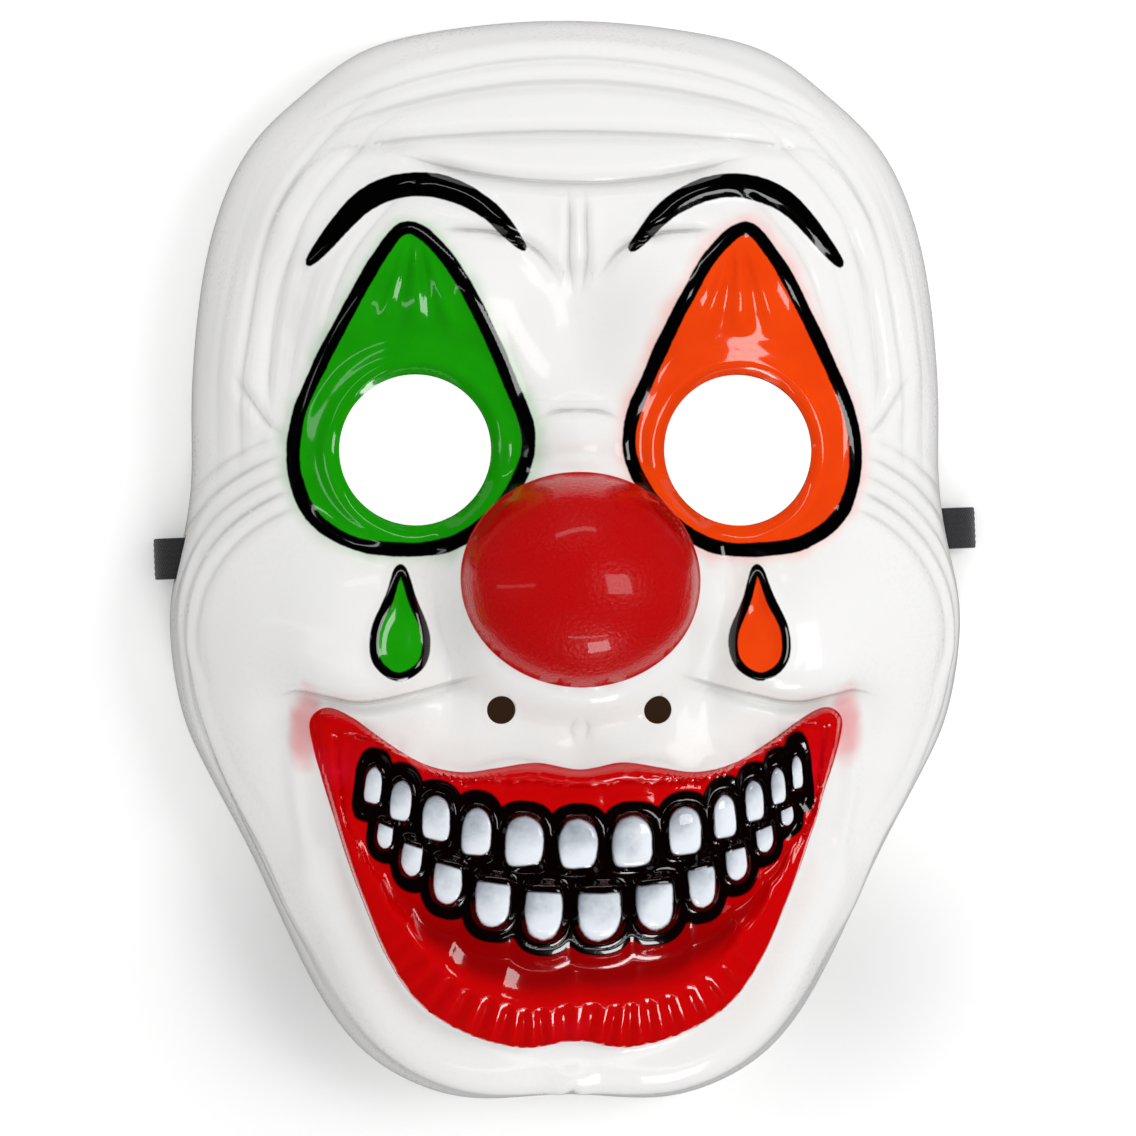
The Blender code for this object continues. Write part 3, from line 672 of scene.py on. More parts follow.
    def along_crease(self, x: np.ndarray, y: np.ndarray, crease: Crease) -> PathPlace:
        """Where each point lies from a crease on its own side of the mask.

        Args:
            x: Places across the mask.
            y: Places up the mask.
            crease: The crease, or a roll.

        Returns:
            The distances, the shares of the way along the crease and the sides.
        """
        points = [(out * self.half_width, up * self.half_height) for out, up in crease.points]
        path = smooth_path(points, closed=False)
        place = path_distance(np.abs(x), y, path)
        return place._replace(along=place.along / path_length(path))

    def fold_lines(self, x: np.ndarray, y: np.ndarray) -> list[FoldLine]:
        """Every groove in the skin.

        Args:
            x: Places across the mask.
            y: Places up the mask.

        Returns:
            For each groove, its signed distance, strength, width and whether it is a ledge.
        """
        found = []
        for rank, fold in enumerate(FOREHEAD_FOLDS):
            reach = fold.out * self.half_width
            line = (fold.up - fold.sag * (x / reach) ** 2) * self.half_height
            fade = 1 - smooth_step(0.7 * reach, 1.15 * reach, np.abs(x))
            found.append(FoldLine(y - line, fade * fold.depth, 1.0, True, Groove.FOREHEAD, rank))
        cheek = next(form for form in FORMS if form.name == "cheek")
        across, up = np.abs(x) - cheek.out * self.half_width, y - cheek.up * self.half_height
        radius, angle = np.hypot(across, up), np.degrees(np.arctan2(up, across))
        for rank, line in enumerate(LAUGH_LINES):
            fade = smooth_step(line.start, line.start + self.laugh_fade, angle)
            fade *= 1 - smooth_step(line.end - self.laugh_fade, line.end, angle)
            off_line = radius - line.radius * self.half_width
            found.append(FoldLine(off_line, fade * line.depth, 0.6, False, Groove.LAUGH, rank))
        distance, along, side = path_distance(np.abs(x), y, self.smile)
        share = along / path_length(self.smile)
        fade = smooth_step(0, 0.2, share) * (1 - smooth_step(0.8, 1, share))
        fade *= 1.3 + 1.1 * gaussian(share - 0.7, 0.25)
        found.append(FoldLine(distance * side, fade, 1.7, True))
        for crease in CREASES:
            distance, share, side = self.along_crease(x, y, crease)
            start = 1.0 if crease.points[0][0] == 0 else smooth_step(-0.1, 0.25, share)
            fade = start * (1 - smooth_step(0.7, 1.1, share))
            fade *= 1 - smooth_step(0.6 * self.fold_width, 1.6 * self.fold_width, distance)
            found.append(FoldLine(distance * side, fade * crease.depth, crease.width, False))
        found.append(self.flow_line(x, y))
        return found

    def folds(self, x: np.ndarray, y: np.ndarray) -> np.ndarray:
        """The relief of every groove in the skin.

        Args:
            x: Places across the mask.
            y: Places up the mask.

        Returns:
            The heights, in metres.
        """
        height = np.zeros(x.shape)
        for line in self.fold_lines(x, y):
            shape = self.ledge if line.ledge else self.groove
            height += line.strength * shape(line.distance, line.width)
        return height

    def flow_line(self, x: np.ndarray, y: np.ndarray) -> FoldLine:
        """Long grooves that follow the outline down both temples and the jaw.

        Args:
            x: Places across the mask.
            y: Places up the mask.

        Returns:
            The nearest of these grooves, as one fold line.
        """
        turn, angle, band = self.flow_turn(x, y)
        place = (turn - np.round(turn)) / self.flow_count
        place *= np.hypot(x, y) / np.maximum(self.outline_share(x, y), 0.1)
        strength = 0.55 + 0.45 * np.sin(2.3 * angle + 2.1 * turn)
        strength *= self.flow_strength * band
        return FoldLine(place, strength, 0.7, False, Groove.FLOW, np.round(turn))

    def flow_turn(self, x: np.ndarray, y: np.ndarray) -> tuple[np.ndarray, ...]:
        """Which of the long grooves each point is at, its angle and how strong they are.

        Args:
            x: Places across the mask.
            y: Places up the mask.

        Returns:
            Whole numbers on the grooves, the angles, and strengths from 0 to 1.
        """
        share, angle = self.outline_share(x, y), np.arctan2(y, np.abs(x))
        start = 0.84 - 0.22 * smooth_step(0.20, 0.55, angle)
        band = smooth_step(start, start + 0.08, share) * (1 - smooth_step(0.95, 0.99, share))
        band *= (1 - smooth_step(0.95, 1.30, angle)) * smooth_step(-1.05, -0.70, angle)
        band *= 1 - 0.9 * gaussian(angle - 0.10, 0.26)
        sway = 0.30 * np.sin(3.1 * angle + 0.4) + 0.16 * np.sin(7.3 * angle + 1.9)
        return share * self.flow_count + sway, angle, band

    def rolls(self, x: np.ndarray, y: np.ndarray) -> np.ndarray:
        """Soft swellings along paths on both sides, such as the chin's.

        Args:
            x: Places across the mask.
            y: Places up the mask.

        Returns:
            The heights, in metres.
        """
        height = np.zeros(x.shape)
        for roll in ROLLS:
            distance, share, _ = self.along_crease(x, y, roll)
            fade = (0.35 + 0.65 * smooth_step(0, 0.2, share)) * (1 - smooth_step(0.7, 1, share))
            rise = roll.depth * self.fold_depth * (1 if roll.name == "chin" else fade)
            height += rise * gaussian(distance, self.fold_width * roll.width)
        return height

    def row_line(self, x: float, middle: float, rise: float) -> float:
        """A line of the teeth across the mouth: lowest in the middle, and up at the ends."""
        return -middle + rise * self.row_width / 2 * (abs(x) / (self.row_width / 2)) ** 2.3

    def tooth_places(self) -> list[ToothPlace]:
        """Where each tooth of both rows stands.

        Returns:
            The teeth, from left to right, the upper row first.
        """
        found = []
        rows = (
            (UPPER_GAPS, self.upper_tooth, self.upper_gum_rise, -1.0),
            (LOWER_GAPS, -self.lower_tooth, self.lower_gum_rise, 1.0),
        )
        half = self.row_width / 2
        for gaps, tall, gum_rise, bite_way in rows:
            for start, end in zip(gaps[:-1], gaps[1:]):
                out = (start + end) / 2 * half
                bite = self.row_line(out, self.bite_drop, self.bite_rise)
                gum = self.row_line(out, self.bite_drop - tall, gum_rise)
                slope = 0.55 * (self.bite_rise + gum_rise) * min(abs(out / half), 1) ** 1.3
                found.append(
                    ToothPlace(
                        out,
                        (bite + gum) / 2,
                        (end - start) / 2 * half - self.tooth_gap / 2,
                        abs(gum - bite) / 2 - self.tooth_gap / 2,
                        math.copysign(math.atan(slope), out),
                        bite_way,
                    )
                )
        return found

    def tooth_maps(self, x: np.ndarray, y: np.ndarray) -> dict[str, np.ndarray]:
        """Where each point lies on its nearest tooth.

        Args:
            x: Places across the mask.
            y: Places up the mask.

        Returns:
            The share of the tooth's radius, the way down it and across it, the distance
            outside it and the height of its swelling.
        """
        found = {name: np.zeros(x.shape) for name in ("down", "across", "swelling", "bite")}
        found |= {name: np.full(x.shape, 99.0) for name in ("share", "outside")}
        for tooth in self.teeth:
            from_x, from_y = x - tooth.out, y - tooth.up
            across = (from_x + from_y * math.tan(tooth.lean * 0.35)) / tooth.half_width
            upright = from_y * math.cos(tooth.lean * 0.5) - from_x * math.tan(tooth.lean) * 0.8
            upright = upright / tooth.half_height
            power = np.where(upright * tooth.bite_way > 0, self.bite_squareness, self.gum_roundness)
            share = np.abs(np.clip(across, -9, 9)) ** power + np.abs(np.clip(upright, -9, 9)) ** power
            share = share ** (1 / power)
            size = min(tooth.half_width, tooth.half_height)
            nearer = share < found["share"]
            found["share"] = np.where(nearer, share, found["share"])
            found["down"] = np.where(nearer, -upright, found["down"])
            found["across"] = np.where(nearer, across, found["across"])
            bite = upright * tooth.bite_way + (0.20 if tooth.bite_way > 0 else 0.0)
            found["bite"] = np.where(nearer, bite, found["bite"])
            found["outside"] = np.minimum(found["outside"], (share - 1) * size)
            flank = 1 - smooth_step(0.66, 1.04, share)
            crown = 0.25 * (1 - np.minimum(share, 1) ** 2)
            swelling = (0.75 * flank + crown) * min(1, size / (4 * MM))
            found["swelling"] = np.maximum(found["swelling"], self.tooth_stand * swelling)
        return found

    def lip_band(
        self, x: np.ndarray, y: np.ndarray, off_teeth: np.ndarray
    ) -> tuple[np.ndarray, np.ndarray]:
        """How far across its lip each point is, and whether that is the lower lip.

        Args:
            x: Places across the mask.
            y: Places up the mask.
            off_teeth: Distances outside the teeth.

        Returns:
            Shares from the lip's outer edge, 0, to the gum, 1, and shares of the lower lip.
        """
        edge = inside_distance(x, y, self.lips)[0]
        gum = np.clip(off_teeth - 1.5 * self.tooth_gap, 0, None)
        band = np.maximum(edge, 0) + gum
        across = np.where(edge < 0, edge / (20 * MM), edge / (band + 1e-9))
        low, high = -self.mouth_drop - 0.1 * self.mouth_height, -self.mouth_drop + 0.25 * self.mouth_height
        return across, 1 - smooth_step(low, high, y)

    def rib_turn(self, along: np.ndarray) -> np.ndarray:
        """Which rib each place along the lips is at, with their pitch a little uneven."""
        return (along + 1.3 * MM * np.sin(along / (9 * MM))) / self.rib_pitch

    def mouth_form(self, x: np.ndarray, y: np.ndarray) -> np.ndarray:
        """Rolled lips with ribs across the lower one, and two rows of teeth between them.

        Args:
            x: Places across the mask.
            y: Places up the mask.

        Returns:
            The heights, in metres.
        """
        edge, along = inside_distance(x, y, self.lips)
        tooth = self.tooth_maps(x, y)
        gum = np.clip(tooth["outside"] - 1.5 * self.tooth_gap, 0, None)
        across, lower = self.lip_band(x, y, tooth["outside"])
        lip = (1 - lower) * np.interp(across, *np.array(UPPER_LIP).T)
        lip += lower * np.interp(across, *np.array(LOWER_LIP).T)
        roll = smooth_step(0.02, 0.10, across) * (1 - smooth_step(0.40, 0.54, across))
        roll = roll * smooth_step(0, 1.2 * MM, edge)
        ribbed = 1 - smooth_step(-self.mouth_drop - 0.31 * self.mouth_height, -self.mouth_drop, y)
        ribs = np.abs(np.cos(math.pi * self.rib_turn(along))) ** 2.4 * roll * ribbed
        gums = self.gum_stand * (1 - smooth_step(0, 4 * MM, gum))
        return self.lip_stand * lip - self.rib_depth * ribs + gums + tooth["swelling"]

    def line_distances(self, x: np.ndarray, y: np.ndarray) -> dict[Paint, np.ndarray]:
        """Distances inside the patches and drops, and from the brows' edges.

        Args:
            x: Places across the mask.
            y: Places up the mask.

        Returns:
            The distances, by kind of line.
        """
        side_x = np.abs(x)
        distance, along, _ = path_distance(side_x, y, self.brow)
        share = np.clip(along / path_length(self.brow), 0, 1)
        taper = 0.35 + 0.65 * np.sin(math.pi * share) ** 0.6
        return {
            Paint.PATCH: inside_distance(side_x, y, self.patch)[0],
            Paint.DROP: inside_distance(side_x, y, self.drop)[0],
            Paint.BROW: self.brow_width / 2 * taper - distance,
        }

    def line_form(self, x: np.ndarray, y: np.ndarray) -> np.ndarray:
        """The raised lines round each eye patch and drop, and the brows.

        Args:
            x: Places across the mask.
            y: Places up the mask.

        Returns:
            The heights, in metres.
        """
        found = self.line_distances(x, y)
        height = np.zeros(x.shape)
        for name in (Paint.PATCH, Paint.DROP):
            line = self.line_stand * gaussian(found[name], self.line_width * 0.55)
            height = np.maximum(height, line)
        brow = np.clip(found[Paint.BROW] / (self.brow_width / 2), -1, 1)
        return np.maximum(height, self.brow_stand * smooth_step(-0.5, 0.9, brow))

    def relief(self, x: np.ndarray, y: np.ndarray) -> np.ndarray:
        """Everything that stands out of, or dips into, the plain dome.

        Args:
            x: Places across the mask.
            y: Places up the mask.

        Returns:
            The heights, in metres.
        """
        marks = self.folds(x, y) * self.off_patch(x, y)
        return (
            self.broad_forms(x, y)
            + self.eye_forms(x, y)
            + self.nose_form(x, y)
            + self.mouth_form(x, y)
            + self.rolls(x, y)
            + (marks + self.line_form(x, y)) * self.off_ball(x, y)
        )

    def off_patch(self, x: np.ndarray, y: np.ndarray) -> np.ndarray:
        """0 on the painted eye patches and 1 away from them, smooth in between."""
        patch = inside_distance(np.abs(x), y, self.patch)[0]
        return 1 - smooth_step(-7 * MM, -1.5 * MM, patch)

    def radial_spacing(self, count: int = 2001) -> tuple[np.ndarray, np.ndarray]:
        """Shares from the middle to the outline, and how far along the section each one is.

        Args:
            count: How many shares to give.

        Returns:
            How far along the section each share is, from 0 to 1, and the shares.
        """
        share = 1 - (1 - np.linspace(0, 1, count)) ** 3
        run = np.diff(share) * (self.half_width + self.half_height) / 2
        fall = np.diff(self.dome(share)) * 0.45
        travelled = np.concatenate([[0], np.cumsum(np.hypot(run, fall))])
        return travelled / travelled[-1], share

    def sheet_points(self, across: np.ndarray, up: np.ndarray) -> np.ndarray:
        """The formed sheet as a grid of points, from rim to rim.

        Args:
            across: The grid's columns, from -1 to 1.
            up: The grid's rows, from -1 to 1.

        Returns:
            Points by row and column, with a short skirt below the floor.
        """
        across, up = np.meshgrid(across, up)
        disc_x = across * np.sqrt(1 - up**2 / 2)
        disc_y = up * np.sqrt(1 - across**2 / 2)
        travelled, share_there = self.radial_spacing()
        reach = np.hypot(disc_x, disc_y)
        share = np.interp(reach, travelled, share_there)
        angle = np.arctan2(disc_y, disc_x)
        unit = 1 / self.outline_share(np.cos(angle), np.sin(angle))
        x, y = share * unit * np.cos(angle), share * unit * np.sin(angle)
        out_x, out_y, rise = self.leaning_relief(x, y)
        z = self.dome(share) + rise - self.skirt * smooth_step(0.995, 1.0, reach)
        return np.stack([x + out_x, y + out_y, z], axis=-1)

    def leaning_relief(self, x: np.ndarray, y: np.ndarray) -> tuple[np.ndarray, ...]:
        """The relief, which leans outwards where the side wall is steep.

        Args:
            x: Places across the mask.
            y: Places up the mask.

        Returns:
            The relief's reach along X, along Y and upwards.
        """
        share, angle = self.outline_share(x, y), np.arctan2(y, x)
        relief = self.relief(x, y) * (1 - smooth_step(0.93, 1.0, share))
        outward = smooth_step(0.72, 0.98, share) * 0.85
        along = relief * outward
        return along * np.cos(angle), along * np.sin(angle), relief * np.sqrt(1 - outward**2)

    def source_places(self, x: np.ndarray, y: np.ndarray) -> tuple[np.ndarray, np.ndarray]:
        """Where points of the finished sheet were before its relief leant outwards.

        Args:
            x: Places across the mask, on the finished sheet.
            y: Places up the mask, on the finished sheet.

        Returns:
            The places that the forms and the paint are drawn from.
        """
        from_x, from_y = x.copy(), y.copy()
        moved = np.flatnonzero(self.outline_share(x, y) > 0.66)
        for _ in range(4):
            out_x, out_y, _ = self.leaning_relief(from_x[moved], from_y[moved])
            from_x[moved], from_y[moved] = x[moved] - out_x, y[moved] - out_y
        return from_x, from_y

    def paint_maps(self, x: np.ndarray, y: np.ndarray) -> dict[Paint, np.ndarray]:
        """Every painted edge's distance, in millimetres, or share, at each point.

        Args:
            x: Places across the mask.
            y: Places up the mask.

        Returns:
            The values of each attribute.
        """
        tooth = self.tooth_maps(x, y)
        lines = self.line_distances(x, y)
        bare = self.off_patch(x, y) * self.off_ball(x, y)
        folds = self.folds(x, y) * bare
        return {
            Paint.LIPS: inside_distance(x, y, self.lips)[0] / MM,
            Paint.GUMS: tooth["outside"] / MM,
            Paint.TOOTH: tooth["share"],
            Paint.TOOTH_RISE: tooth["down"],
            Paint.TOOTH_LEAN: tooth["across"],
            Paint.BITE: tooth["bite"],
            Paint.NOSE: (1 - self.ball_share(x, y)) * self.nose_height / 2 / MM,
            Paint.PATCH: lines[Paint.PATCH] / MM,
            Paint.DROP: lines[Paint.DROP] / MM,
            Paint.BROW: lines[Paint.BROW] / MM,
            # How deep each groove is, for painted shade in the grooves
            Paint.CREASE: np.clip(-folds / self.fold_depth, 0, 1),
            # The share across each lip, for painted shade in the lower lip's hollow
            Paint.BASIN: self.lip_band(x, y, tooth["outside"])[0],
        }

    def groove_maps(self, x: np.ndarray, y: np.ndarray) -> dict[str, np.ndarray]:
        """Vectors that tell the shader where each family's grooves run, for the painted shade along their
        bottoms and for the bump.

        A distance has RANK_STEP added for each groove before its own in the family, so that it
        never passes a groove by mistake half way between two of them.

        Args:
            x: Places across the mask.
            y: Places up the mask.

        Returns:
            Distance in millimetres and strength for each family, and the flow's own place.
        """
        bare = self.off_patch(x, y) * self.off_ball(x, y)
        lines = self.fold_lines(x, y)
        found = {}
        for family in Groove:
            nearest, strength = np.full(x.shape, 49 * MM), np.zeros(x.shape)
            rank = np.zeros(x.shape)
            for line in (line for line in lines if line.family is family):
                nearer = np.abs(line.distance) < np.abs(nearest)
                nearest = np.where(nearer, line.distance, nearest)
                strength = np.where(nearer, line.strength, strength)
                rank = np.where(nearer, line.rank, rank)
            if family is Groove.CREASE:
                strength = strength * (1 - smooth_step(1.1 * MM, 2.0 * MM, np.abs(nearest)))
            found[family.value] = np.stack([RANK_STEP * rank + nearest / MM, strength * bare, rank], axis=-1)
        turn, angle, band = self.flow_turn(x, y)
        found["flow"] = np.stack([turn, angle, band * bare], axis=-1)
        return found


class Shade:
    """A shader socket that takes part in Python arithmetic by adding Math nodes."""

    def __init__(self, builder: "MaterialBuilder", socket: bpy.types.NodeSocket) -> None:
        """Wraps one output socket."""
        self.builder = builder
        self.socket = socket

    def math(self, operation: str, *values: object) -> "Shade":
        """A Math node on these numbers or shades, in the order of its inputs."""
        return self.builder.add("ShaderNodeMath", {"operation": operation}, dict(enumerate(values)))

    def __add__(self, other: object) -> "Shade":
        """This plus another."""
        return self.math("ADD", self, other)

    __radd__ = __add__

    def __sub__(self, other: object) -> "Shade":
        """This less another."""
        return self.math("SUBTRACT", self, other)

    def __rsub__(self, other: object) -> "Shade":
        """Another less this."""
        return self.math("SUBTRACT", other, self)

    def __mul__(self, other: object) -> "Shade":
        """This times another."""
        return self.math("MULTIPLY", self, other)

    __rmul__ = __mul__

    def absolute(self) -> "Shade":
        """This without its sign."""
        return self.math("ABSOLUTE", self)

    def larger(self, other: object) -> "Shade":
        """The larger of this and another."""
        return self.math("MAXIMUM", self, other)

    def sine(self) -> "Shade":
        """The sine of this."""
        return self.math("SINE", self)

    def exponential(self) -> "Shade":
        """The exponential of this."""
        return self.math("EXPONENT", self)

    def rounded(self) -> "Shade":
        """This to the nearest whole number."""
        return self.math("ROUND", self)

    def rise(self, start: float, end: float) -> "Shade":
        """0 at start and 1 at end, smooth in between."""
        settings = {"interpolation_type": "SMOOTHSTEP"}
        return self.builder.add("ShaderNodeMapRange", settings, {0: self, 1: start, 2: end})


class MaterialBuilder:
    """Makes one material's nodes."""

    def __init__(self, name: str) -> None:
        """Starts a material with a Principled shader.

        Args:
            name: The material's name.
        """
        self.material = bpy.data.materials.new(name)
        self.material.use_nodes = True
        self.tree = self.material.node_tree
        self.shader = self.tree.nodes["Principled BSDF"]
        self.place = self.add("ShaderNodeTexCoord", {}, {}, "Object")

    def add(self, kind: str, settings: dict, values: dict, output: object = 0) -> Shade:
        """Any node.

        Args:
            kind: The node's type.
            settings: Its own settings, which are set first.
            values: Its inputs' values or shades, by name or number.
            output: The output to give back, by name or number.

        Returns:
            The chosen output.
        """
        node = self.tree.nodes.new(kind)
        for key, value in settings.items():
            setattr(node, key, value)
        for key, value in values.items():
            if isinstance(value, Shade):
                self.tree.links.new(value.socket, node.inputs[key])
            elif isinstance(value, tuple):
                node.inputs[key].default_value = (*value, 1)[: len(node.inputs[key].default_value)]
            else:
                node.inputs[key].default_value = value
        return Shade(self, node.outputs[output])

    def attribute(self, name: Paint) -> Shade:
        """One of the mesh's own values."""
        return self.add("ShaderNodeAttribute", {"attribute_name": name.value}, {}, "Fac")

    def parts(self, name: str) -> list[Shade]:
        """The three parts of one of the mesh's own vectors."""
        whole = self.add("ShaderNodeAttribute", {"attribute_name": name}, {}, "Vector")
        return [self.add("ShaderNodeSeparateXYZ", {}, {0: whole}, part) for part in "XYZ"]

    def noise(self, scale: float, detail: float = 2.0, rough: float = 0.5) -> Shade:
        """Noise from -1 to 1, about this many blobs to the metre."""
        values = {"Vector": self.place, "Scale": scale, "Detail": detail, "Roughness": rough}
        return self.add("ShaderNodeTexNoise", {}, values) * 2.0 - 1.0

    def across(self) -> Shade:
        """The place across the object, along X."""
        return self.add("ShaderNodeSeparateXYZ", {}, {0: self.place}, "X")

    def upward(self) -> Shade:
        """The place up the object, along Y."""
        return self.add("ShaderNodeSeparateXYZ", {}, {0: self.place}, "Y")

    def mix(self, share: object, first: object, second: object) -> Shade:
        """A colour between two."""
        settings = {"data_type": "RGBA"}
        return self.add("ShaderNodeMix", settings, {0: share, 6: first, 7: second}, 2)

    def bump(self, height: Shade, distance: float, strength: float = 1.0) -> Shade:
        """A Bump node on this height."""
        values = {"Height": height, "Distance": distance, "Strength": strength}
        return self.add("ShaderNodeBump", {}, values, "Normal")

    def feed(self, **values: object) -> None:
        """Sets the shader's inputs, whose names are written with underscores.

        Args:
            values: Numbers, colours or shades, by the input's name.
        """
        for key, value in values.items():
            socket = self.shader.inputs[key.replace("_", " ")]
            if isinstance(value, Shade):
                self.tree.links.new(value.socket, socket)
            else:
                socket.default_value = (*value, 1) if isinstance(value, tuple) else value


class Grain(NamedTuple):
    """Noise of three sizes, each from -1 to 1."""

    fine: Shade
    wide: Shade
    cloudy: Shade


@dataclass(frozen=True)
class PaintedPlastic:
    """Glossy white formed sheet, painted by hand and by spray."""

    white: Colour = (0.89, 0.885, 0.87)
    # Painted shade: the grey of the sheet down in its grooves and along their bottoms
    crease: Colour = (0.66, 0.66, 0.64)
    lip_red: Colour = (0.62, 0.0, 0.0006)
    # Painted sheen on the lips
    lip_sheen_pink: Colour = (0.78, 0.004, 0.03)
    # Painted shade in the lower lip's hollow
    lip_hollow_shade: Colour = (0.28, 0.0, 0.0004)
    nose_red: Colour = (0.54, 0.0, 0.0006)
    nose_dark: Colour = (0.42, 0.0, 0.0004)
    spray_pink: Colour = (0.80, 0.10, 0.12)
    # Each patch's colour and its darker tone, used at random and as painted shade in the grooves
    green: Colour = (0.010, 0.38, 0.002)
    green_dark: Colour = (0.003, 0.19, 0.001)
    orange: Colour = (0.95, 0.07, 0.003)
    orange_dark: Colour = (0.72, 0.022, 0.001)
    black: Colour = (0.0006, 0.0006, 0.0006)
    maroon: Colour = (0.020, 0.001, 0.001)
    # The teeth's light and dark tones, for their painted shade and random patches
    tooth_light: Colour = (0.86, 0.90, 0.96)
    tooth_dark: Colour = (0.17, 0.21, 0.26)
    line_width: float = 3.2
    gum_reach: float = 1.9

    def build(self, name: str) -> bpy.types.Material:
        """The material, whose paint follows the mesh's own distances.

        Args:
            name: The material's name.

        Returns:
            The material.
        """
        make = MaterialBuilder(name)
        read = {paint: make.attribute(paint) for paint in Paint}
        grain = Grain(make.noise(900.0, 3.0), make.noise(120.0, 2.0), make.noise(35.0, 2.0))
        crisp = self.crisp_lines(make, grain.wide)
        # Painted shade: greyer down in the grooves and along their sharp bottoms
        colour = make.mix(read[Paint.CREASE] * 0.5 + crisp * 0.5, self.white, self.crease)
        colour, patches = self.eye_coat(make, read, grain, colour)
        colour, lips = self.lip_coat(make, read, grain, colour)
        colour = self.tooth_coat(make, read, grain, colour, lips)
        ink = self.ink(read, grain)
        colour = make.mix(ink, colour, self.black)
        nose = (read[Paint.NOSE] + grain.wide * 0.04).rise(-0.65, -0.45)
        ball = make.mix((grain.cloudy * 0.5 + 0.5) * 0.6, self.nose_red, self.nose_dark)
        colour = make.mix(nose, colour, ball)
        covered = lips.larger(ink).larger(patches)
        rough = 0.28 - covered * 0.13 + grain.fine * 0.02 + grain.cloudy * 0.02
        turn, angle, band = make.parts("flow")
        along = make.add("ShaderNodeCombineXYZ", {}, {"X": turn * 1.3, "Y": angle * 2.2})
        streak = make.add("ShaderNodeTexNoise", {}, {"Vector": along, "Scale": 1.0, "Detail": 3.0})
        skin = grain.fine * 0.35 + grain.wide * 0.5 - crisp * 6.0 + (streak - 0.5) * band * 14.0
        skin = skin + make.noise(1100.0, 3.0) * nose * 2.6
        make.feed(Base_Color=colour, Roughness=rough, Normal=make.bump(skin, 0.05 * MM))
        make.feed(Coat_Weight=0.28 + covered * 0.67, Coat_Roughness=0.05, Coat_IOR=1.5)
        make.feed(Specular_IOR_Level=0.12)
        return make.material

    def eye_coat(
        self, make: MaterialBuilder, read: dict[Paint, Shade], grain: Grain, colour: Shade
    ) -> tuple[Shade, Shade]:
        """The patches round the eyes, their sprayed halo and the drops under them, with painted shade in
        their grooves.

        Args:
            make: The material's builder.
            read: The mesh's own values.
            grain: The noise.
            colour: The colour under this coat.

        Returns:
            The new colour, and where the patches and drops are.
        """
        right = make.across().rise(-0.1 * MM, 0.1 * MM)
        light = make.mix(right, self.green, self.orange)
        dark = make.mix(right, self.green_dark, self.orange_dark)
        # Darker in random patches, and darker down in the grooves as painted shade
        eye = make.mix((grain.wide * 0.5 + 0.5) * 0.5 + read[Paint.CREASE] * 0.3, light, dark)
        halo = (read[Paint.PATCH] + grain.wide * 2.0 + grain.cloudy * 3.0).rise(-6.5, -0.5)
        colour = make.mix(halo * halo * 0.35, colour, light)
        patch = (read[Paint.PATCH] + grain.fine * 0.25).rise(-0.25, 0.25)
        colour = make.mix(patch, colour, eye)
        drop = (read[Paint.DROP] + grain.fine * 0.25).rise(-0.25, 0.25)
        return make.mix(drop, colour, eye), patch.larger(drop)

    def lip_coat(
        self, make: MaterialBuilder, read: dict[Paint, Shade], grain: Grain, colour: Shade
    ) -> tuple[Shade, Shade]:
        """The red lips with painted sheen in pink blobs and painted shade in the lower lip's hollow, and the
        pink sprayed at their corners.

        Args:
            make: The material's builder.
            read: The mesh's own values.
            grain: The noise.
            colour: The colour under this coat.

        Returns:
            The new colour, and where the lips are.
        """
        off_side = (make.across().absolute() - 0.0605) * 230.0
        off_up = (make.upward() + 0.038) * 95.0
        spray = off_side * off_side + off_up * off_up + grain.wide * 0.6 + grain.cloudy * 0.4
        colour = make.mix(spray.rise(1.3, 0.0) * 0.6, colour, self.spray_pink)
        lips = (read[Paint.LIPS] + grain.fine * 0.04 + grain.wide * 0.10).rise(-0.42, -0.22)
        # Painted sheen: pinker in random blobs
        pale = (grain.cloudy + grain.wide * 0.5).rise(0.1, 0.9) * 0.8
        red = make.mix(pale, self.lip_red, self.lip_sheen_pink)
        # Painted shade: darker in the lower lip's hollow
        basin = read[Paint.BASIN].rise(0.56, 0.72) * make.upward().rise(-0.070, -0.085)
        red = make.mix(basin * 0.85, red, self.lip_hollow_shade)
        return make.mix(lips, colour, red), lips

    def tooth_coat(
        self,
        make: MaterialBuilder,
        read: dict[Paint, Shade],
        grain: Grain,
        colour: Shade,
        lips: Shade,
    ) -> Shade:
        """The black gums, and the grey teeth brushed on them, with painted shade on each tooth.

        Args:
            make: The material's builder.
            read: The mesh's own values.
            grain: The noise.
            colour: The colour under this coat.
            lips: Where the lips are.

        Returns:
            The new colour.
        """
        off_teeth = read[Paint.GUMS] + grain.wide * 0.3
        gums = off_teeth.rise(self.gum_reach + 0.2, self.gum_reach - 0.2) * lips
        black = make.mix((grain.fine * 0.5 + 0.5) * 0.25, self.black, self.maroon)
        colour = make.mix(gums, colour, black)
        lean = read[Paint.TOOTH_LEAN]
        # Painted shade: each tooth darker towards its top and left, lighter towards its lower right, with
        # random patches
        shade = read[Paint.TOOTH_RISE] * 0.8 + lean * 0.5 + grain.wide * 0.9 + grain.fine * 0.2
        tooth = make.mix(shade.rise(-1.4, 0.5), self.tooth_dark, self.tooth_light)
        edge = read[Paint.TOOTH] + lean.absolute() * 0.17
        edge = edge + lean * 0.06 + grain.wide * 0.15 + grain.fine * 0.03
        bitten = (read[Paint.BITE] + grain.wide * 0.12).rise(0.80, 0.70)
        return make.mix(edge.rise(0.88, 0.77) * bitten, colour, tooth)

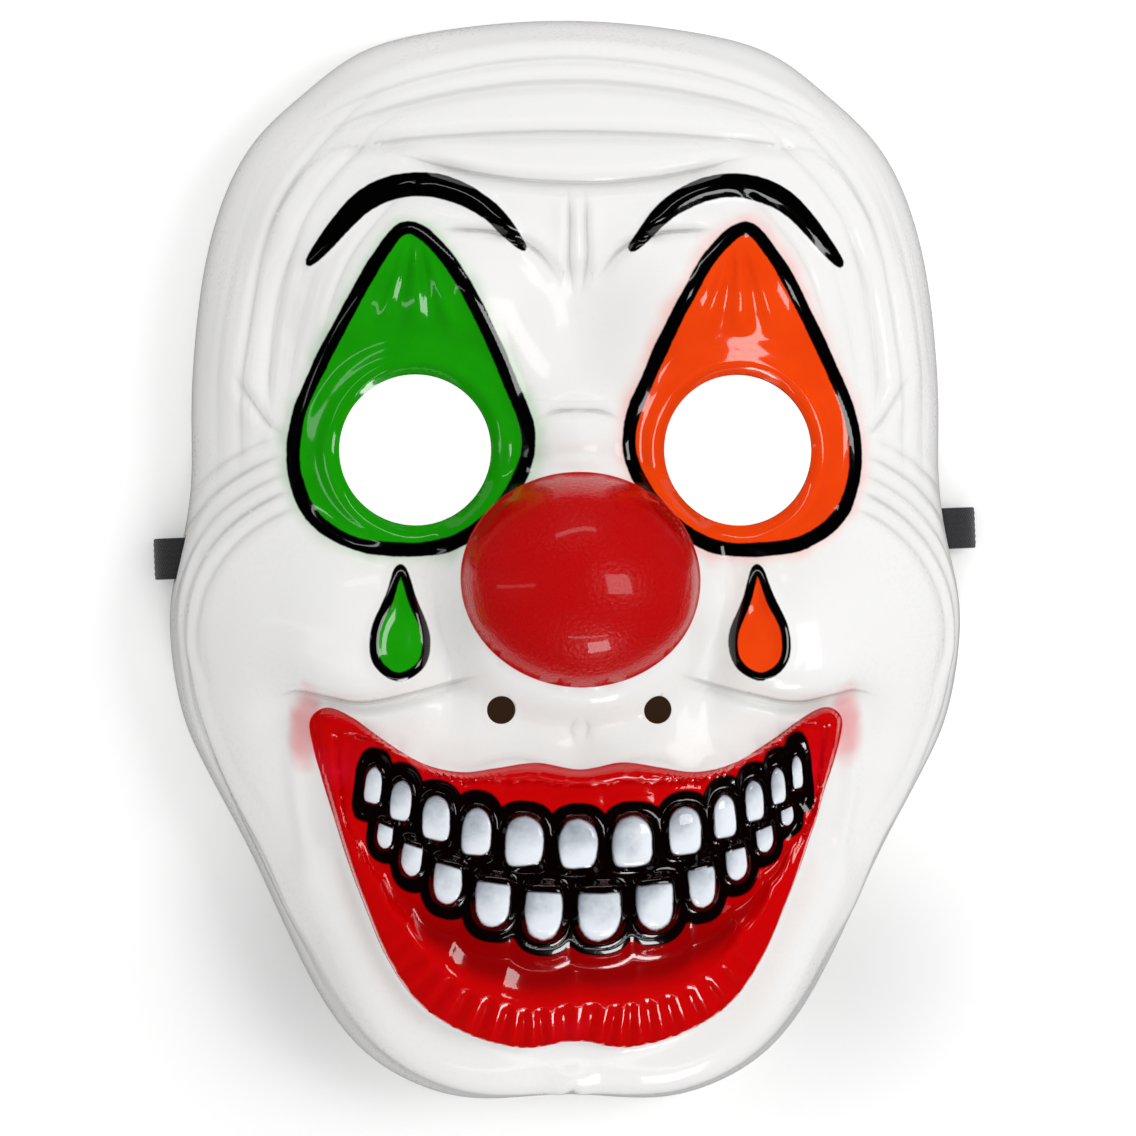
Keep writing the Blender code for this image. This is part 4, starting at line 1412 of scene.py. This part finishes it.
    def ink(self, read: dict[Paint, Shade], grain: Grain) -> Shade:
        """The black lines round the patches and drops, and the brows.

        Args:
            read: The mesh's own values.
            grain: The noise.

        Returns:
            Where the ink is.
        """
        reach = self.line_width / 2 + grain.wide * 0.35 + grain.fine * 0.12
        line = (read[Paint.PATCH].absolute() - reach).rise(0.2, -0.2)
        small = (read[Paint.DROP].absolute() - reach * 0.62).rise(0.18, -0.18)
        brow = (read[Paint.BROW] + grain.fine * 0.1 + grain.wide * 0.25).rise(-0.2, 0.2)
        return line.larger(small).larger(brow)

    @staticmethod
    def crisp_lines(make: MaterialBuilder, wobble: Shade) -> Shade:
        """The sharp bottoms of the grooves, from 0 to about 1, which paint shade along them and shape the
        bump.

        Args:
            make: The material's builder.
            wobble: Noise that shifts the lines a little.

        Returns:
            How near each place is to a groove's bottom, times the groove's strength.
        """
        total = None
        for family in Groove:
            distance, strength, _ = make.parts(family.value)
            whole = (distance * (1 / RANK_STEP)).rounded() * RANK_STEP
            near = distance - whole + wobble * 0.15
            fall = near * near * -7.0
            line = fall.exponential() * strength
            total = line if total is None else total + line
        return total


@dataclass(frozen=True)
class BarePlastic:
    """The unpainted back of the formed sheet."""

    white: Colour = (0.80, 0.80, 0.79)

    def build(self, name: str) -> bpy.types.Material:
        """The material.

        Args:
            name: The material's name.

        Returns:
            The material.
        """
        make = MaterialBuilder(name)
        cloudy, fine = make.noise(45.0, 3.0), make.noise(700.0, 2.0)
        colour = make.mix(cloudy * 0.15 + 0.15, self.white, (0.68, 0.68, 0.67))
        make.feed(Base_Color=colour, Roughness=0.34 + fine * 0.04)
        make.feed(Normal=make.bump(fine, 0.04 * MM), IOR=1.5)
        return make.material


@dataclass(frozen=True)
class RibbedElastic:
    """Matt black woven elastic."""

    black: Colour = (0.012, 0.012, 0.014)
    grey: Colour = (0.045, 0.045, 0.05)
    yarn: float = 0.55 * MM

    def build(self, name: str) -> bpy.types.Material:
        """The material, whose weave follows the band's own UV map, in metres.

        Args:
            name: The material's name.

        Returns:
            The material.
        """
        make = MaterialBuilder(name)
        flat = make.add("ShaderNodeUVMap", {"uv_map": "band"}, {})
        along = make.add("ShaderNodeSeparateXYZ", {}, {0: flat}, "X")
        across = make.add("ShaderNodeSeparateXYZ", {}, {0: flat}, "Y")
        turn = 2 * math.pi / self.yarn
        warp = (along * turn).sine()
        weft = (across * turn * 0.5).sine()
        knit = warp * weft * 0.5 + 0.5
        fuzz = make.noise(2500.0, 2.0)
        colour = make.mix(knit * 0.6 + fuzz * 0.2, self.black, self.grey)
        make.feed(Base_Color=colour, Roughness=0.82, Sheen_Weight=0.3, Sheen_Roughness=0.5)
        make.feed(Normal=make.bump(knit + fuzz * 0.3, 0.12 * MM))
        return make.material


@dataclass(frozen=True)
class Thread:
    """Black sewing thread."""

    black: Colour = (0.02, 0.02, 0.022)

    def build(self, name: str) -> bpy.types.Material:
        """The material.

        Args:
            name: The material's name.

        Returns:
            The material.
        """
        make = MaterialBuilder(name)
        twist = make.noise(4000.0, 1.0)
        make.feed(Base_Color=make.mix(twist * 0.5 + 0.5, self.black, (0.06, 0.06, 0.065)))
        make.feed(Roughness=0.6, Normal=make.bump(twist, 0.05 * MM))
        return make.material


@dataclass(frozen=True)
class PaleFloor:
    """A plain pale studio floor that glows as painted light, white where the eye openings show it and less by
    the chin; it is painted with shadow beside the chin and with shade under the nostrils.
    """

    white: Colour = (0.95, 0.95, 0.95)
    # Painted light: the floor's glow, brighter away from the chin
    ground_glow: Colour = (0.09, 0.09, 0.09)
    bright_ground_glow: Colour = (0.16, 0.16, 0.16)
    # Painted shade: dark brown on the floor under the nostrils, where they show it
    nostril_shade: Colour = (0.022, 0.010, 0.004)
    # Painted shadow beside the chin, on both sides
    shade: Colour = (0.74, 0.74, 0.74)
    shade_side: float = 62 * MM
    shade_up: float = -94 * MM
    shade_reach: float = 48 * MM
    middle: float = 2.7 * MM
    # Painted light: the floor glows white under the eye openings
    lit_side: float = 37.5 * MM
    lit_up: float = 25.4 * MM
    lit_reach: float = 24 * MM
    # Where the painted shade under the nostrils lies
    nostril_shade_side: float = 18 * MM
    nostril_shade_up: float = -33.6 * MM
    nostril_shade_reach: float = 9 * MM

    def build(self, name: str) -> bpy.types.Material:
        """The material.

        Args:
            name: The material's name.

        Returns:
            The material.
        """
        make = MaterialBuilder(name)
        lit = self.spot(make, self.lit_side, self.lit_up, self.lit_reach)
        # Painted shade: dark brown under the nostrils, in colour and glow
        dark = self.spot(make, self.nostril_shade_side, self.nostril_shade_up, self.nostril_shade_reach)
        shade = self.spot(make, self.shade_side, self.shade_up, self.shade_reach, 0.0)
        pale = make.mix(make.noise(3.0) * 0.02 + 0.02, self.white, (0.9, 0.9, 0.9))
        # Painted shadow beside the chin
        pale = make.mix(shade, pale, self.shade)
        make.feed(Base_Color=make.mix(dark, pale, self.nostril_shade), Roughness=0.7)
        # Painted light: the floor glows, more away from the chin, and white under the eye openings
        ground_glow = make.mix(make.upward().rise(-0.08, 0.0), self.ground_glow, self.bright_ground_glow)
        glow = make.mix(lit, ground_glow, (1.0, 1.0, 1.0))
        make.feed(Emission_Color=make.mix(dark, glow, self.nostril_shade), Emission_Strength=1.0)
        return make.material

    def spot(
        self, make: MaterialBuilder, side: float, up: float, reach: float, core: float = 0.6
    ) -> Shade:
        """1 in two soft discs, one on each side, and 0 away from them.

        Args:
            make: The material's builder.
            side: How far out each disc's middle is.
            up: How far up it is.
            reach: The disc's radius.
            core: The share of the radius where the disc is full.

        Returns:
            The discs.
        """
        parts = {"X": (make.across() - self.middle).absolute() - side, "Y": make.upward() - up}
        level = make.add("ShaderNodeCombineXYZ", {}, parts)
        away = make.add("ShaderNodeVectorMath", {"operation": "LENGTH"}, {0: level}, "Value")
        return away.rise(reach, core * reach)


def new_object(name: str, mesh: bpy.types.ID) -> bpy.types.Object:
    """A new object in the scene.

    Args:
        name: The object's name.
        mesh: Its mesh, light or camera.

    Returns:
        The object.
    """
    made = bpy.data.objects.new(name, mesh)
    bpy.context.scene.collection.objects.link(made)
    return made


def evaluated_mesh(source: bpy.types.Object, name: str) -> bpy.types.Mesh:
    """The object's mesh with its modifiers applied.

    Args:
        source: The object.
        name: The new mesh's name.

    Returns:
        The mesh.
    """
    bpy.context.view_layer.update()
    graph = bpy.context.evaluated_depsgraph_get()
    mesh = bpy.data.meshes.new_from_object(source.evaluated_get(graph))
    mesh.name = name
    return mesh


def mesh_of(made: bmesh.types.BMesh, name: str) -> bpy.types.Mesh:
    """A named mesh from a working one, which is freed.

    Args:
        made: The working mesh.
        name: The new mesh's name.

    Returns:
        The new mesh.
    """
    mesh = bpy.data.meshes.new(name)
    made.to_mesh(mesh)
    made.free()
    return mesh


@dataclass
class MaskShell:
    """The formed and painted sheet."""

    form: MaskForm
    strap: "ElasticStrap"
    wall: float = 1.0 * MM
    columns: int = 300
    rows: int = 304
    inner_columns: int = 82
    inner_rows: int = 86
    column_windows: tuple[tuple[float, float, float], ...] = ((-0.56, 0.56, 1.2),)
    row_windows: tuple[tuple[float, float, float], ...] = ((-0.83, -0.30, 1.3), (0.10, 0.80, 0.7))
    trim_depth: float = 16 * MM
    sharp_angle: float = 55
    eye_sides: int = 160
    nostril_sides: int = 48
    arch_sides: int = 512
    finish: PaintedPlastic = field(default_factory=PaintedPlastic)
    back_finish: BarePlastic = field(default_factory=BarePlastic)

    def graded(self, count: int, windows: Sequence[tuple[float, float, float]]) -> np.ndarray:
        """Steps from -1 to 1 that are finer in some windows.

        Args:
            count: How many steps to give.
            windows: Each window's start, end and added fineness.

        Returns:
            The steps.
        """
        place = np.linspace(-1, 1, 4001)
        fineness = np.ones(place.shape)
        for start, end, extra in windows:
            inside = smooth_step(start - 0.06, start + 0.06, place)
            fineness += extra * inside * (1 - smooth_step(end - 0.06, end + 0.06, place))
        travelled = np.concatenate([[0], np.cumsum(fineness[1:])])
        return np.interp(np.linspace(0, travelled[-1], count), travelled, place)

    @staticmethod
    def lowest_near(heights: np.ndarray) -> np.ndarray:
        """The lowest of each height and its neighbours.

        Args:
            heights: The heights, by row and column.

        Returns:
            The lowest heights, by row and column.
        """
        padded = np.pad(heights, 1, mode="edge")
        across = np.minimum.reduce([padded[:, :-2], padded[:, 1:-1], padded[:, 2:]])
        return np.minimum.reduce([across[:-2], across[1:-1], across[2:]])

    def grids(self) -> tuple[np.ndarray, np.ndarray]:
        """The fine outer grid of points, and the coarser inner grid behind it.

        Returns:
            The two grids, by row and column.
        """
        outer = self.form.sheet_points(
            self.graded(self.columns, self.column_windows), self.graded(self.rows, self.row_windows)
        )
        fine = self.form.sheet_points(
            self.graded(2 * self.inner_columns - 1, self.column_windows),
            self.graded(2 * self.inner_rows - 1, self.row_windows),
        )
        lowest = self.lowest_near(self.lowest_near(fine[..., 2]))
        share = self.form.outline_share(fine[..., 0], fine[..., 1])
        flat = 1 - smooth_step(0.70, 0.80, share)
        fine[..., 2] += flat * (lowest - fine[..., 2])
        normal = np.cross(np.gradient(fine, axis=1), np.gradient(fine, axis=0))
        normal /= np.linalg.norm(normal, axis=-1, keepdims=True)
        inner = (fine - normal * self.wall)[::2, ::2]
        return outer, inner

    @staticmethod
    def rim_order(rows: int, columns: int) -> tuple[list[int], list[float]]:
        """The corners round a grid, in order, and how far round each one is.

        Args:
            rows: The grid's rows of points.
            columns: Its columns of points.

        Returns:
            The corners' numbers, and their places round the grid from 0 to 4.
        """
        last = (rows - 1) * columns
        bottom = [(i, i / (columns - 1)) for i in range(columns - 1)]
        right = [((i + 1) * columns - 1, 1 + i / (rows - 1)) for i in range(rows - 1)]
        top = [(last + columns - 1 - i, 2 + i / (columns - 1)) for i in range(columns - 1)]
        left = [((rows - 1 - i) * columns, 3 + i / (rows - 1)) for i in range(rows - 1)]
        corners, places = zip(*bottom, *right, *top, *left)
        return list(corners), list(places)

    @staticmethod
    def grid_faces(rows: int, columns: int) -> np.ndarray:
        """The grid's faces, as the numbers of their corners."""
        first = np.arange((rows - 1) * columns).reshape(rows - 1, columns)[:, :-1].ravel()
        return np.stack([first, first + 1, first + columns + 1, first + columns], axis=-1)

    def sheet(self) -> bpy.types.Mesh:
        """The closed sheet before it is trimmed, with its back in material slot 1.

        Returns:
            The two grids as one mesh, stitched together round their rims.
        """
        outer, inner = self.grids()
        front = self.grid_faces(*outer.shape[:2])
        behind = outer.shape[0] * outer.shape[1]
        back = self.grid_faces(*inner.shape[:2])[:, ::-1] + behind
        near, near_place = self.rim_order(*outer.shape[:2])
        far, far_place = self.rim_order(*inner.shape[:2])
        far = [corner + behind for corner in far]
        near, near_place = [*near, near[0]], [*near_place, 4.0]
        far, far_place = [*far, far[0]], [*far_place, 4.0]
        edge, i, j = [], 0, 0
        while i < len(near) - 1 or j < len(far) - 1:
            if j == len(far) - 1 or (i < len(near) - 1 and near_place[i + 1] <= far_place[j + 1]):
                edge.append((near[i + 1], near[i], far[j]))
                i += 1
            else:
                edge.append((near[i], far[j], far[j + 1]))
                j += 1
        points = np.vstack([outer.reshape(-1, 3), inner.reshape(-1, 3)])
        mesh = bpy.data.meshes.new("sheet")
        mesh.from_pydata(points.tolist(), [], [*front.tolist(), *back.tolist(), *edge])
        slots = np.zeros(len(mesh.polygons), np.int32)
        slots[len(front) : len(front) + len(back)] = 1
        mesh.polygons.foreach_set("material_index", slots)
        return mesh

    def cutters(self) -> bpy.types.Mesh:
        """Everything that is cut away: below the edge, the arches, holes and slots.

        Returns:
            The cutters, as one mesh.
        """
        form, strap = self.form, self.strap
        made = bmesh.new()
        lean = Matrix.Rotation(strap.lean(), 3, "Z")

        def add_cylinder(radius: float, length: float, place: tuple, sides: int, flat: bool) -> None:
            """One round cutter, upright or lying along X.

            Args:
                radius: Its radius.
                length: Its length.
                place: Its middle.
                sides: How many sides it has.
                flat: Whether it lies along X.
            """
            cone = bmesh.ops.create_cone(
                made, cap_ends=True, segments=sides, radius1=radius, radius2=radius, depth=length
            )
            if flat:
                lie = Matrix.Rotation(math.pi / 2, 3, "Y")
                bmesh.ops.rotate(made, verts=cone["verts"], matrix=lie, cent=(0, 0, 0))
            bmesh.ops.translate(made, verts=cone["verts"], vec=place)

        for side in Side:
            way = side.value
            through = 4 * form.depth
            low = strap.slot_height
            eye = (way * form.eye_x, form.eye_height, through / 2 + low)
            add_cylinder(form.eye_hole / 2, through, eye, self.eye_sides, False)
            nostril = (way * form.nostril_spacing / 2, -form.nostril_drop, through / 2 + low)
            add_cylinder(form.nostril_hole / 2, through, nostril, self.nostril_sides, False)
            radius = (strap.arch_length**2 / 4 + strap.arch_rise**2) / (2 * strap.arch_rise)
            up = strap.slot_up(side)
            arch = (way * form.half_width, up, strap.arch_rise - radius)
            add_cylinder(radius, form.half_width / 2, arch, self.arch_sides, True)
            slot = bmesh.ops.create_cube(made, size=1)
            size = (form.half_width / 3, strap.width + 2 * strap.clearance, strap.slot_gap)
            bmesh.ops.scale(made, verts=slot["verts"], vec=size)
            bmesh.ops.rotate(made, verts=slot["verts"], matrix=lean, cent=(0, 0, 0))
            place = (way * form.edge_reach(up), up, strap.slot_height)
            bmesh.ops.translate(made, verts=slot["verts"], vec=place)
        return mesh_of(made, "cutters")

    def trim_block(self) -> bpy.types.Mesh:
        """The block below the mask's edge.

        Returns:
            The block.
        """
        made = bmesh.new()
        bmesh.ops.create_cube(made, size=1)
        size = (1.4 * self.form.width, 1.3 * self.form.height, self.trim_depth)
        bmesh.ops.scale(made, verts=made.verts, vec=size)
        bmesh.ops.translate(made, verts=made.verts, vec=(0, 0, -self.trim_depth / 2))
        return mesh_of(made, "trim")

    def build(self) -> bpy.types.Object:
        """The finished piece, in place of its plain solid.

        Returns:
            The finished piece.
        """
        sheet = new_object("sheet", self.sheet())
        tools = [new_object("trim", self.trim_block()), new_object("cutters", self.cutters())]
        for tool in tools:
            cut = sheet.modifiers.new(tool.name, "BOOLEAN")
            cut.operation = "DIFFERENCE"
            cut.object = tool
        mesh = evaluated_mesh(sheet, "mask_shell_painted")
        for used in (sheet, *tools):
            bpy.data.objects.remove(used)
        places = np.empty(3 * len(mesh.vertices))
        mesh.vertices.foreach_get("co", places)
        x, y, _ = places.reshape(-1, 3).T
        source = self.form.source_places(x, y)
        for paint, values in self.form.paint_maps(*source).items():
            layer = mesh.attributes.new(paint.value, "FLOAT", "POINT")
            layer.data.foreach_set("value", np.clip(values, -FAR, FAR).astype(np.float32))
        for name, vectors in self.form.groove_maps(*source).items():
            layer = mesh.attributes.new(name, "FLOAT_VECTOR", "POINT")
            layer.data.foreach_set("vector", vectors.astype(np.float32).ravel())
        mesh.materials.clear()
        mesh.materials.append(self.finish.build("painted_plastic"))
        mesh.materials.append(self.back_finish.build("bare_plastic"))
        mesh.shade_smooth()
        mesh.set_sharp_from_angle(angle=math.radians(self.sharp_angle))
        shell = new_object("mask_shell_painted", mesh)
        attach(shell, "root")
        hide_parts("mask_shell")
        return shell


@dataclass
class ElasticStrap:
    """The elastic, looped through a slot at each side, and its stitches."""

    form: MaskForm
    width: float = 9.5 * MM
    thickness: float = 1.2 * MM
    clearance: float = 0.6 * MM
    slot_height: float = 8.6 * MM
    slot_up_left: float = 0.2 * MM
    slot_up_right: float = 7.4 * MM
    loop_span: float = 190.2 * MM
    sewn_length: float = 9 * MM
    lap_inside: float = 12 * MM
    lap_gap: float = 0.3 * MM
    floor_gap: float = 0.05 * MM
    arch: float = 11 * MM
    bow: float = 13 * MM
    arch_length: float = 52 * MM
    ribs: int = 7
    rib_depth: float = 0.12 * MM
    sharp_angle: float = 60
    stitch_length: float = 0.55 * MM
    stitch_pitch: float = 1.25 * MM
    thread_radius: float = 0.16 * MM
    finish: RibbedElastic = field(default_factory=RibbedElastic)
    thread: Thread = field(default_factory=Thread)

    def __post_init__(self) -> None:
        """Works out the slot and the arch from the band's thickness."""
        self.slot_gap = self.thickness + 2 * self.clearance
        self.arch_rise = self.thickness + 2 * self.clearance + 0.6 * MM
        self.low = self.thickness / 2 + self.floor_gap

    def slot_up(self, side: Side) -> float:
        """How far up the mask the slot is."""
        return self.slot_up_right if side is Side.RIGHT else self.slot_up_left

    def lean(self) -> float:
        """How far the strap turns from the X axis."""
        return math.atan2(self.slot_up_right - self.slot_up_left, self.form.width)

    def line(self, out: np.ndarray) -> np.ndarray:
        """How far up the mask the strap's middle line is, at a distance out.

        Args:
            out: Distances out from the middle.

        Returns:
            The places up the mask.
        """
        level = (self.slot_up_left + self.slot_up_right) / 2
        across = np.clip(np.abs(out) / (self.form.half_width - self.lap_inside), 0, 1)
        return level + out * math.tan(self.lean()) - self.bow * (1 - across**2) ** 2

    def loop(self, side: Side) -> np.ndarray:
        """One end, from its cut end inside, out of the slot, round and back in.

        Args:
            side: The side of the mask.

        Returns:
            Places out from the middle and over the floor.
        """
        edge = self.form.edge_reach(self.slot_up(side))
        radius = (self.slot_height - self.low) / 2
        turn_x = (self.loop_span - self.thickness) / 2 - radius
        lap_x = edge - self.lap_inside
        lap_z = self.low + self.thickness + self.lap_gap
        upper = [
            (lap_x - self.sewn_length, lap_z),
            (lap_x, lap_z + 0.5 * MM),
            (edge - 6 * MM, self.slot_height - 2 * MM),
            (edge - 2 * MM, self.slot_height),
            (turn_x, self.slot_height),
        ]
        angles = np.linspace(math.pi / 2, -math.pi / 2, 25)[1:]
        bend = self.low + radius
        turn = [(turn_x + radius * math.cos(a), bend + radius * math.sin(a)) for a in angles]
        back = [(x, self.low) for x in np.linspace(turn_x, lap_x - self.sewn_length, 12)[1:]]
        return np.array([*smooth_path(upper, closed=False, steps=8), *turn, *back])

    def path(self) -> np.ndarray:
        """The whole strap's middle line, as points in space.

        Returns:
            The points, one row each.
        """
        left = self.loop(Side.LEFT) * (-1, 1)
        right = self.loop(Side.RIGHT)[::-1]
        share = np.linspace(0, 1, 66)[1:-1]
        out = left[-1, 0] + share * (right[0, 0] - left[-1, 0])
        height = self.low + self.arch * np.sin(math.pi * share) ** 2
        flat = np.vstack([left, np.stack([out, height], axis=-1), right])
        return np.stack([flat[:, 0], self.line(flat[:, 0]), flat[:, 1]], axis=-1)

    def frames(self, path: np.ndarray) -> tuple[np.ndarray, np.ndarray]:
        """The directions across the band and out of its face, along its path.

        Args:
            path: The path's points, one row each.

        Returns:
            The two directions, one row for each point.
        """
        along = np.gradient(path, axis=0)
        along /= np.linalg.norm(along, axis=1)[:, None]
        level = (-math.sin(self.lean()), math.cos(self.lean()), 0)
        across = np.cross(np.cross(along, level), along)
        across /= np.linalg.norm(across, axis=1)[:, None]
        return across, np.cross(along, across)

    def section(self) -> np.ndarray:
        """The ribbed band's section, as distances across it and out of its face.

        Returns:
            The section's points, one row each.
        """
        half, thick = self.width / 2, self.thickness / 2
        share = np.linspace(-1, 1, 8 * self.ribs + 1)
        rib = self.rib_depth * (np.cos(math.pi * self.ribs * (share + 1)) - 1) / 2
        rounding = np.sqrt(np.clip(1 - np.clip((np.abs(share) - 0.9) / 0.1, 0, 1) ** 2, 0, 1))
        upper = np.stack([share * half, (thick + rib) * np.maximum(rounding, 0.15)], axis=-1)
        return np.vstack([upper, upper[::-1] * (1, -1)])

    def band(self) -> bpy.types.Object:
        """The ribbed band, swept along its path, with a UV map in metres.

        Returns:
            The band.
        """
        path = self.path()
        across, face = self.frames(path)
        section = self.section()
        length = np.concatenate([[0], np.cumsum(np.linalg.norm(np.diff(path, axis=0), axis=1))])
        made = bmesh.new()
        layer = made.loops.layers.uv.new("band")
        rings = []
        for place, side, up in zip(path, across, face):
            points = place + section[:, :1] * side + section[:, 1:] * up
            rings.append([made.verts.new(point) for point in points])
        count = len(section)
        for row, (ring, following) in enumerate(zip(rings[:-1], rings[1:])):
            for index in range(count):
                other = (index + 1) % count
                face_made = made.faces.new((ring[index], ring[other], following[other], following[index]))
                ends = ((row, index), (row, other), (row + 1, other), (row + 1, index))
                for loop, (step, turn) in zip(face_made.loops, ends):
                    loop[layer].uv = (length[step], section[turn][0])
        made.faces.new(rings[0])
        made.faces.new(rings[-1])
        bmesh.ops.recalc_face_normals(made, faces=made.faces)
        mesh = mesh_of(made, "elastic_band")
        mesh.materials.append(self.finish.build("ribbed_elastic"))
        mesh.shade_smooth()
        mesh.set_sharp_from_angle(angle=math.radians(self.sharp_angle))
        return new_object("elastic_band", mesh)

    def stitch_rows(self) -> bpy.types.Object:
        """Where the stitches stand: two rows across each lap, as loose edges to fill.

        Returns:
            The rows.
        """
        mesh = bpy.data.meshes.new("stitch_rows")
        points, edges = [], []
        for side in Side:
            edge = self.form.edge_reach(self.slot_up(side))
            top = self.low + 1.5 * self.thickness + self.lap_gap
            for share in (0.18, 0.30, 0.74, 0.86):
                out = side.value * (edge - self.lap_inside - share * self.sewn_length)
                middle = float(self.line(np.array(out)))
                for end in (-1, 1):
                    points.append((out, middle + end * 0.4 * self.width, top))
                edges.append((len(points) - 2, len(points) - 1))
        mesh.from_pydata(points, edges, [])
        return new_object("stitch_rows", mesh)

    def stitch_tree(self, thread: bpy.types.Material) -> bpy.types.NodeTree:
        """A Geometry Nodes tree that sets stitches along loose edges.

        Args:
            thread: The stitches' material.

        Returns:
            The tree.
        """
        tree = bpy.data.node_groups.new("stitches", "GeometryNodeTree")
        tree.interface.new_socket("Rows", in_out="INPUT", socket_type="NodeSocketGeometry")
        for name in ("Stitch Length", "Pitch", "Thread Radius"):
            tree.interface.new_socket(name, in_out="INPUT", socket_type="NodeSocketFloat")
        tree.interface.new_socket("Stitches", in_out="OUTPUT", socket_type="NodeSocketGeometry")

        def add(kind: str, inputs: dict, settings: dict | None = None) -> bpy.types.Node:
            """One node, with its settings and its inputs' values or links.

            Args:
                kind: The node's type.
                inputs: Its inputs' values or links, by name or number.
                settings: Its own settings.

            Returns:
                The node.
            """
            node = tree.nodes.new(kind)
            for key, value in (settings or {}).items():
                setattr(node, key, value)
            for key, value in inputs.items():
                if isinstance(value, bpy.types.NodeSocket):
                    tree.links.new(value, node.inputs[key])
                else:
                    node.inputs[key].default_value = value
            return node

        given = tree.nodes.new("NodeGroupInput").outputs
        curve = add("GeometryNodeMeshToCurve", {"Mesh": given["Rows"]}).outputs[0]
        spots = add(
            "GeometryNodeCurveToPoints",
            {"Curve": curve, "Length": given["Pitch"]},
            {"mode": "LENGTH"},
        ).outputs
        arc = add(
            "GeometryNodeCurveArc",
            {"Resolution": 7, "Radius": given["Stitch Length"], "Start Angle": 0.35, "Sweep Angle": 2.44},
        ).outputs[0]
        profile = add("GeometryNodeCurvePrimitiveCircle", {"Resolution": 6, "Radius": given["Thread Radius"]})
        stitch = add(
            "GeometryNodeCurveToMesh",
            {"Curve": arc, "Profile Curve": profile.outputs[0], "Fill Caps": True},
        ).outputs[0]
        upright = add("FunctionNodeEulerToRotation", {0: (math.pi / 2, 0.0, math.pi / 2)}).outputs[0]
        placed = add(
            "GeometryNodeInstanceOnPoints",
            {"Points": spots[0], "Instance": stitch, "Rotation": upright},
        ).outputs[0]
        real = add("GeometryNodeRealizeInstances", {"Geometry": placed}).outputs[0]
        dressed = add("GeometryNodeSetMaterial", {"Geometry": real, "Material": thread}).outputs[0]
        tree.links.new(dressed, tree.nodes.new("NodeGroupOutput").inputs[0])
        return tree

    def stitches(self) -> bpy.types.Object:
        """The finished stitches as one plain mesh.

        Returns:
            The stitches.
        """
        rows = self.stitch_rows()
        tree = self.stitch_tree(self.thread.build("sewing_thread"))
        modifier = rows.modifiers.new("stitches", "NODES")
        modifier.node_group = tree
        sizes = {
            "Stitch Length": self.stitch_length,
            "Pitch": self.stitch_pitch,
            "Thread Radius": self.thread_radius,
        }
        for item in tree.interface.items_tree:
            if item.in_out == "INPUT" and item.name in sizes:
                modifier[item.identifier] = sizes[item.name]
        mesh = evaluated_mesh(rows, "strap_stitches")
        bpy.data.objects.remove(rows)
        mesh.shade_smooth()
        return new_object("strap_stitches", mesh)

    def build(self) -> list[bpy.types.Object]:
        """The finished band and stitches, in place of the plain solid.

        Returns:
            The band and the stitches.
        """
        pieces = [self.band(), self.stitches()]
        for piece in pieces:
            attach(piece, "root")
        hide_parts("elastic_strap")
        return pieces


@dataclass
class Studio:
    """The floor, the lights and the camera."""

    span: float = 263.6 * MM
    camera_height: float = 1.4
    camera_lean: float = 3.1
    aim: tuple[float, float] = (0.7 * MM, -1.9 * MM)
    sensor: float = 36.0
    light_aim: tuple[float, float, float] = (0, 0, 0.03)
    floor_size: float = 3.0
    world_strength: float = 0.63

    def add_light(self, light: Light) -> None:
        """One soft rectangular light.

        Args:
            light: The light's row in the table.
        """
        lamp = bpy.data.lights.new(light.name, "AREA")
        lamp.shape = "RECTANGLE"
        lamp.size, lamp.size_y = light.size
        lamp.energy = light.power
        made = new_object(light.name, lamp)
        made.location = light.place
        made.visible_glossy = light.glint
        made.visible_diffuse = light.bright
        way = np.subtract(self.light_aim, light.place)
        lean, turn = math.atan2(math.hypot(way[0], way[1]), -way[2]), math.atan2(-way[0], way[1])
        made.rotation_euler = (lean, 0, turn)

    def add_floor(self) -> None:
        """The pale floor, which gloss doesn't show."""
        made = bmesh.new()
        bmesh.ops.create_grid(made, x_segments=2, y_segments=2, size=self.floor_size)
        mesh = mesh_of(made, "studio_floor")
        mesh.materials.append(PaleFloor().build("pale_floor"))
        floor = new_object("studio_floor", mesh)
        floor.visible_glossy = False

    def add_world(self) -> None:
        """An even white world, which gloss doesn't show either."""
        world = bpy.data.worlds.new("studio_world")
        world.use_nodes = True
        inputs = world.node_tree.nodes["Background"].inputs
        inputs["Color"].default_value = (1, 1, 1, 1)
        inputs["Strength"].default_value = self.world_strength
        world.cycles_visibility.glossy = False
        bpy.context.scene.world = world

    def add_camera(self) -> None:
        """The camera over the mask, a little to the left of its middle."""
        camera = bpy.data.cameras.new("camera")
        camera.sensor_width = self.sensor
        camera.lens = self.sensor * self.camera_height / self.span
        made = new_object("camera", camera)
        lean = math.radians(self.camera_lean)
        across = self.aim[0] - self.camera_height * math.sin(lean)
        made.location = (across, self.aim[1], self.camera_height * math.cos(lean))
        made.rotation_euler = (0, -lean, 0)
        bpy.context.scene.camera = made

    def build(self) -> None:
        """Everything round the mask."""
        self.add_floor()
        for light in LIGHTS:
            self.add_light(light)
        self.add_world()
        bpy.context.scene.view_settings.view_transform = "Standard"
        self.add_camera()


def report(piece: bpy.types.Object) -> None:
    """Logs a finished piece's size."""
    LOG.info("%s: %d vertices, %d faces", piece.name, len(piece.data.vertices), len(piece.data.polygons))


def main() -> None:
    """Loads the frame, builds the studio and the pieces, and logs each piece's size."""
    logging.basicConfig(level=logging.INFO)
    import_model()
    Studio().build()
    form = MaskForm()
    strap = ElasticStrap(form)
    report(MaskShell(form, strap).build())
    for piece in strap.build():
        report(piece)


if __name__ == "__main__":
    main()
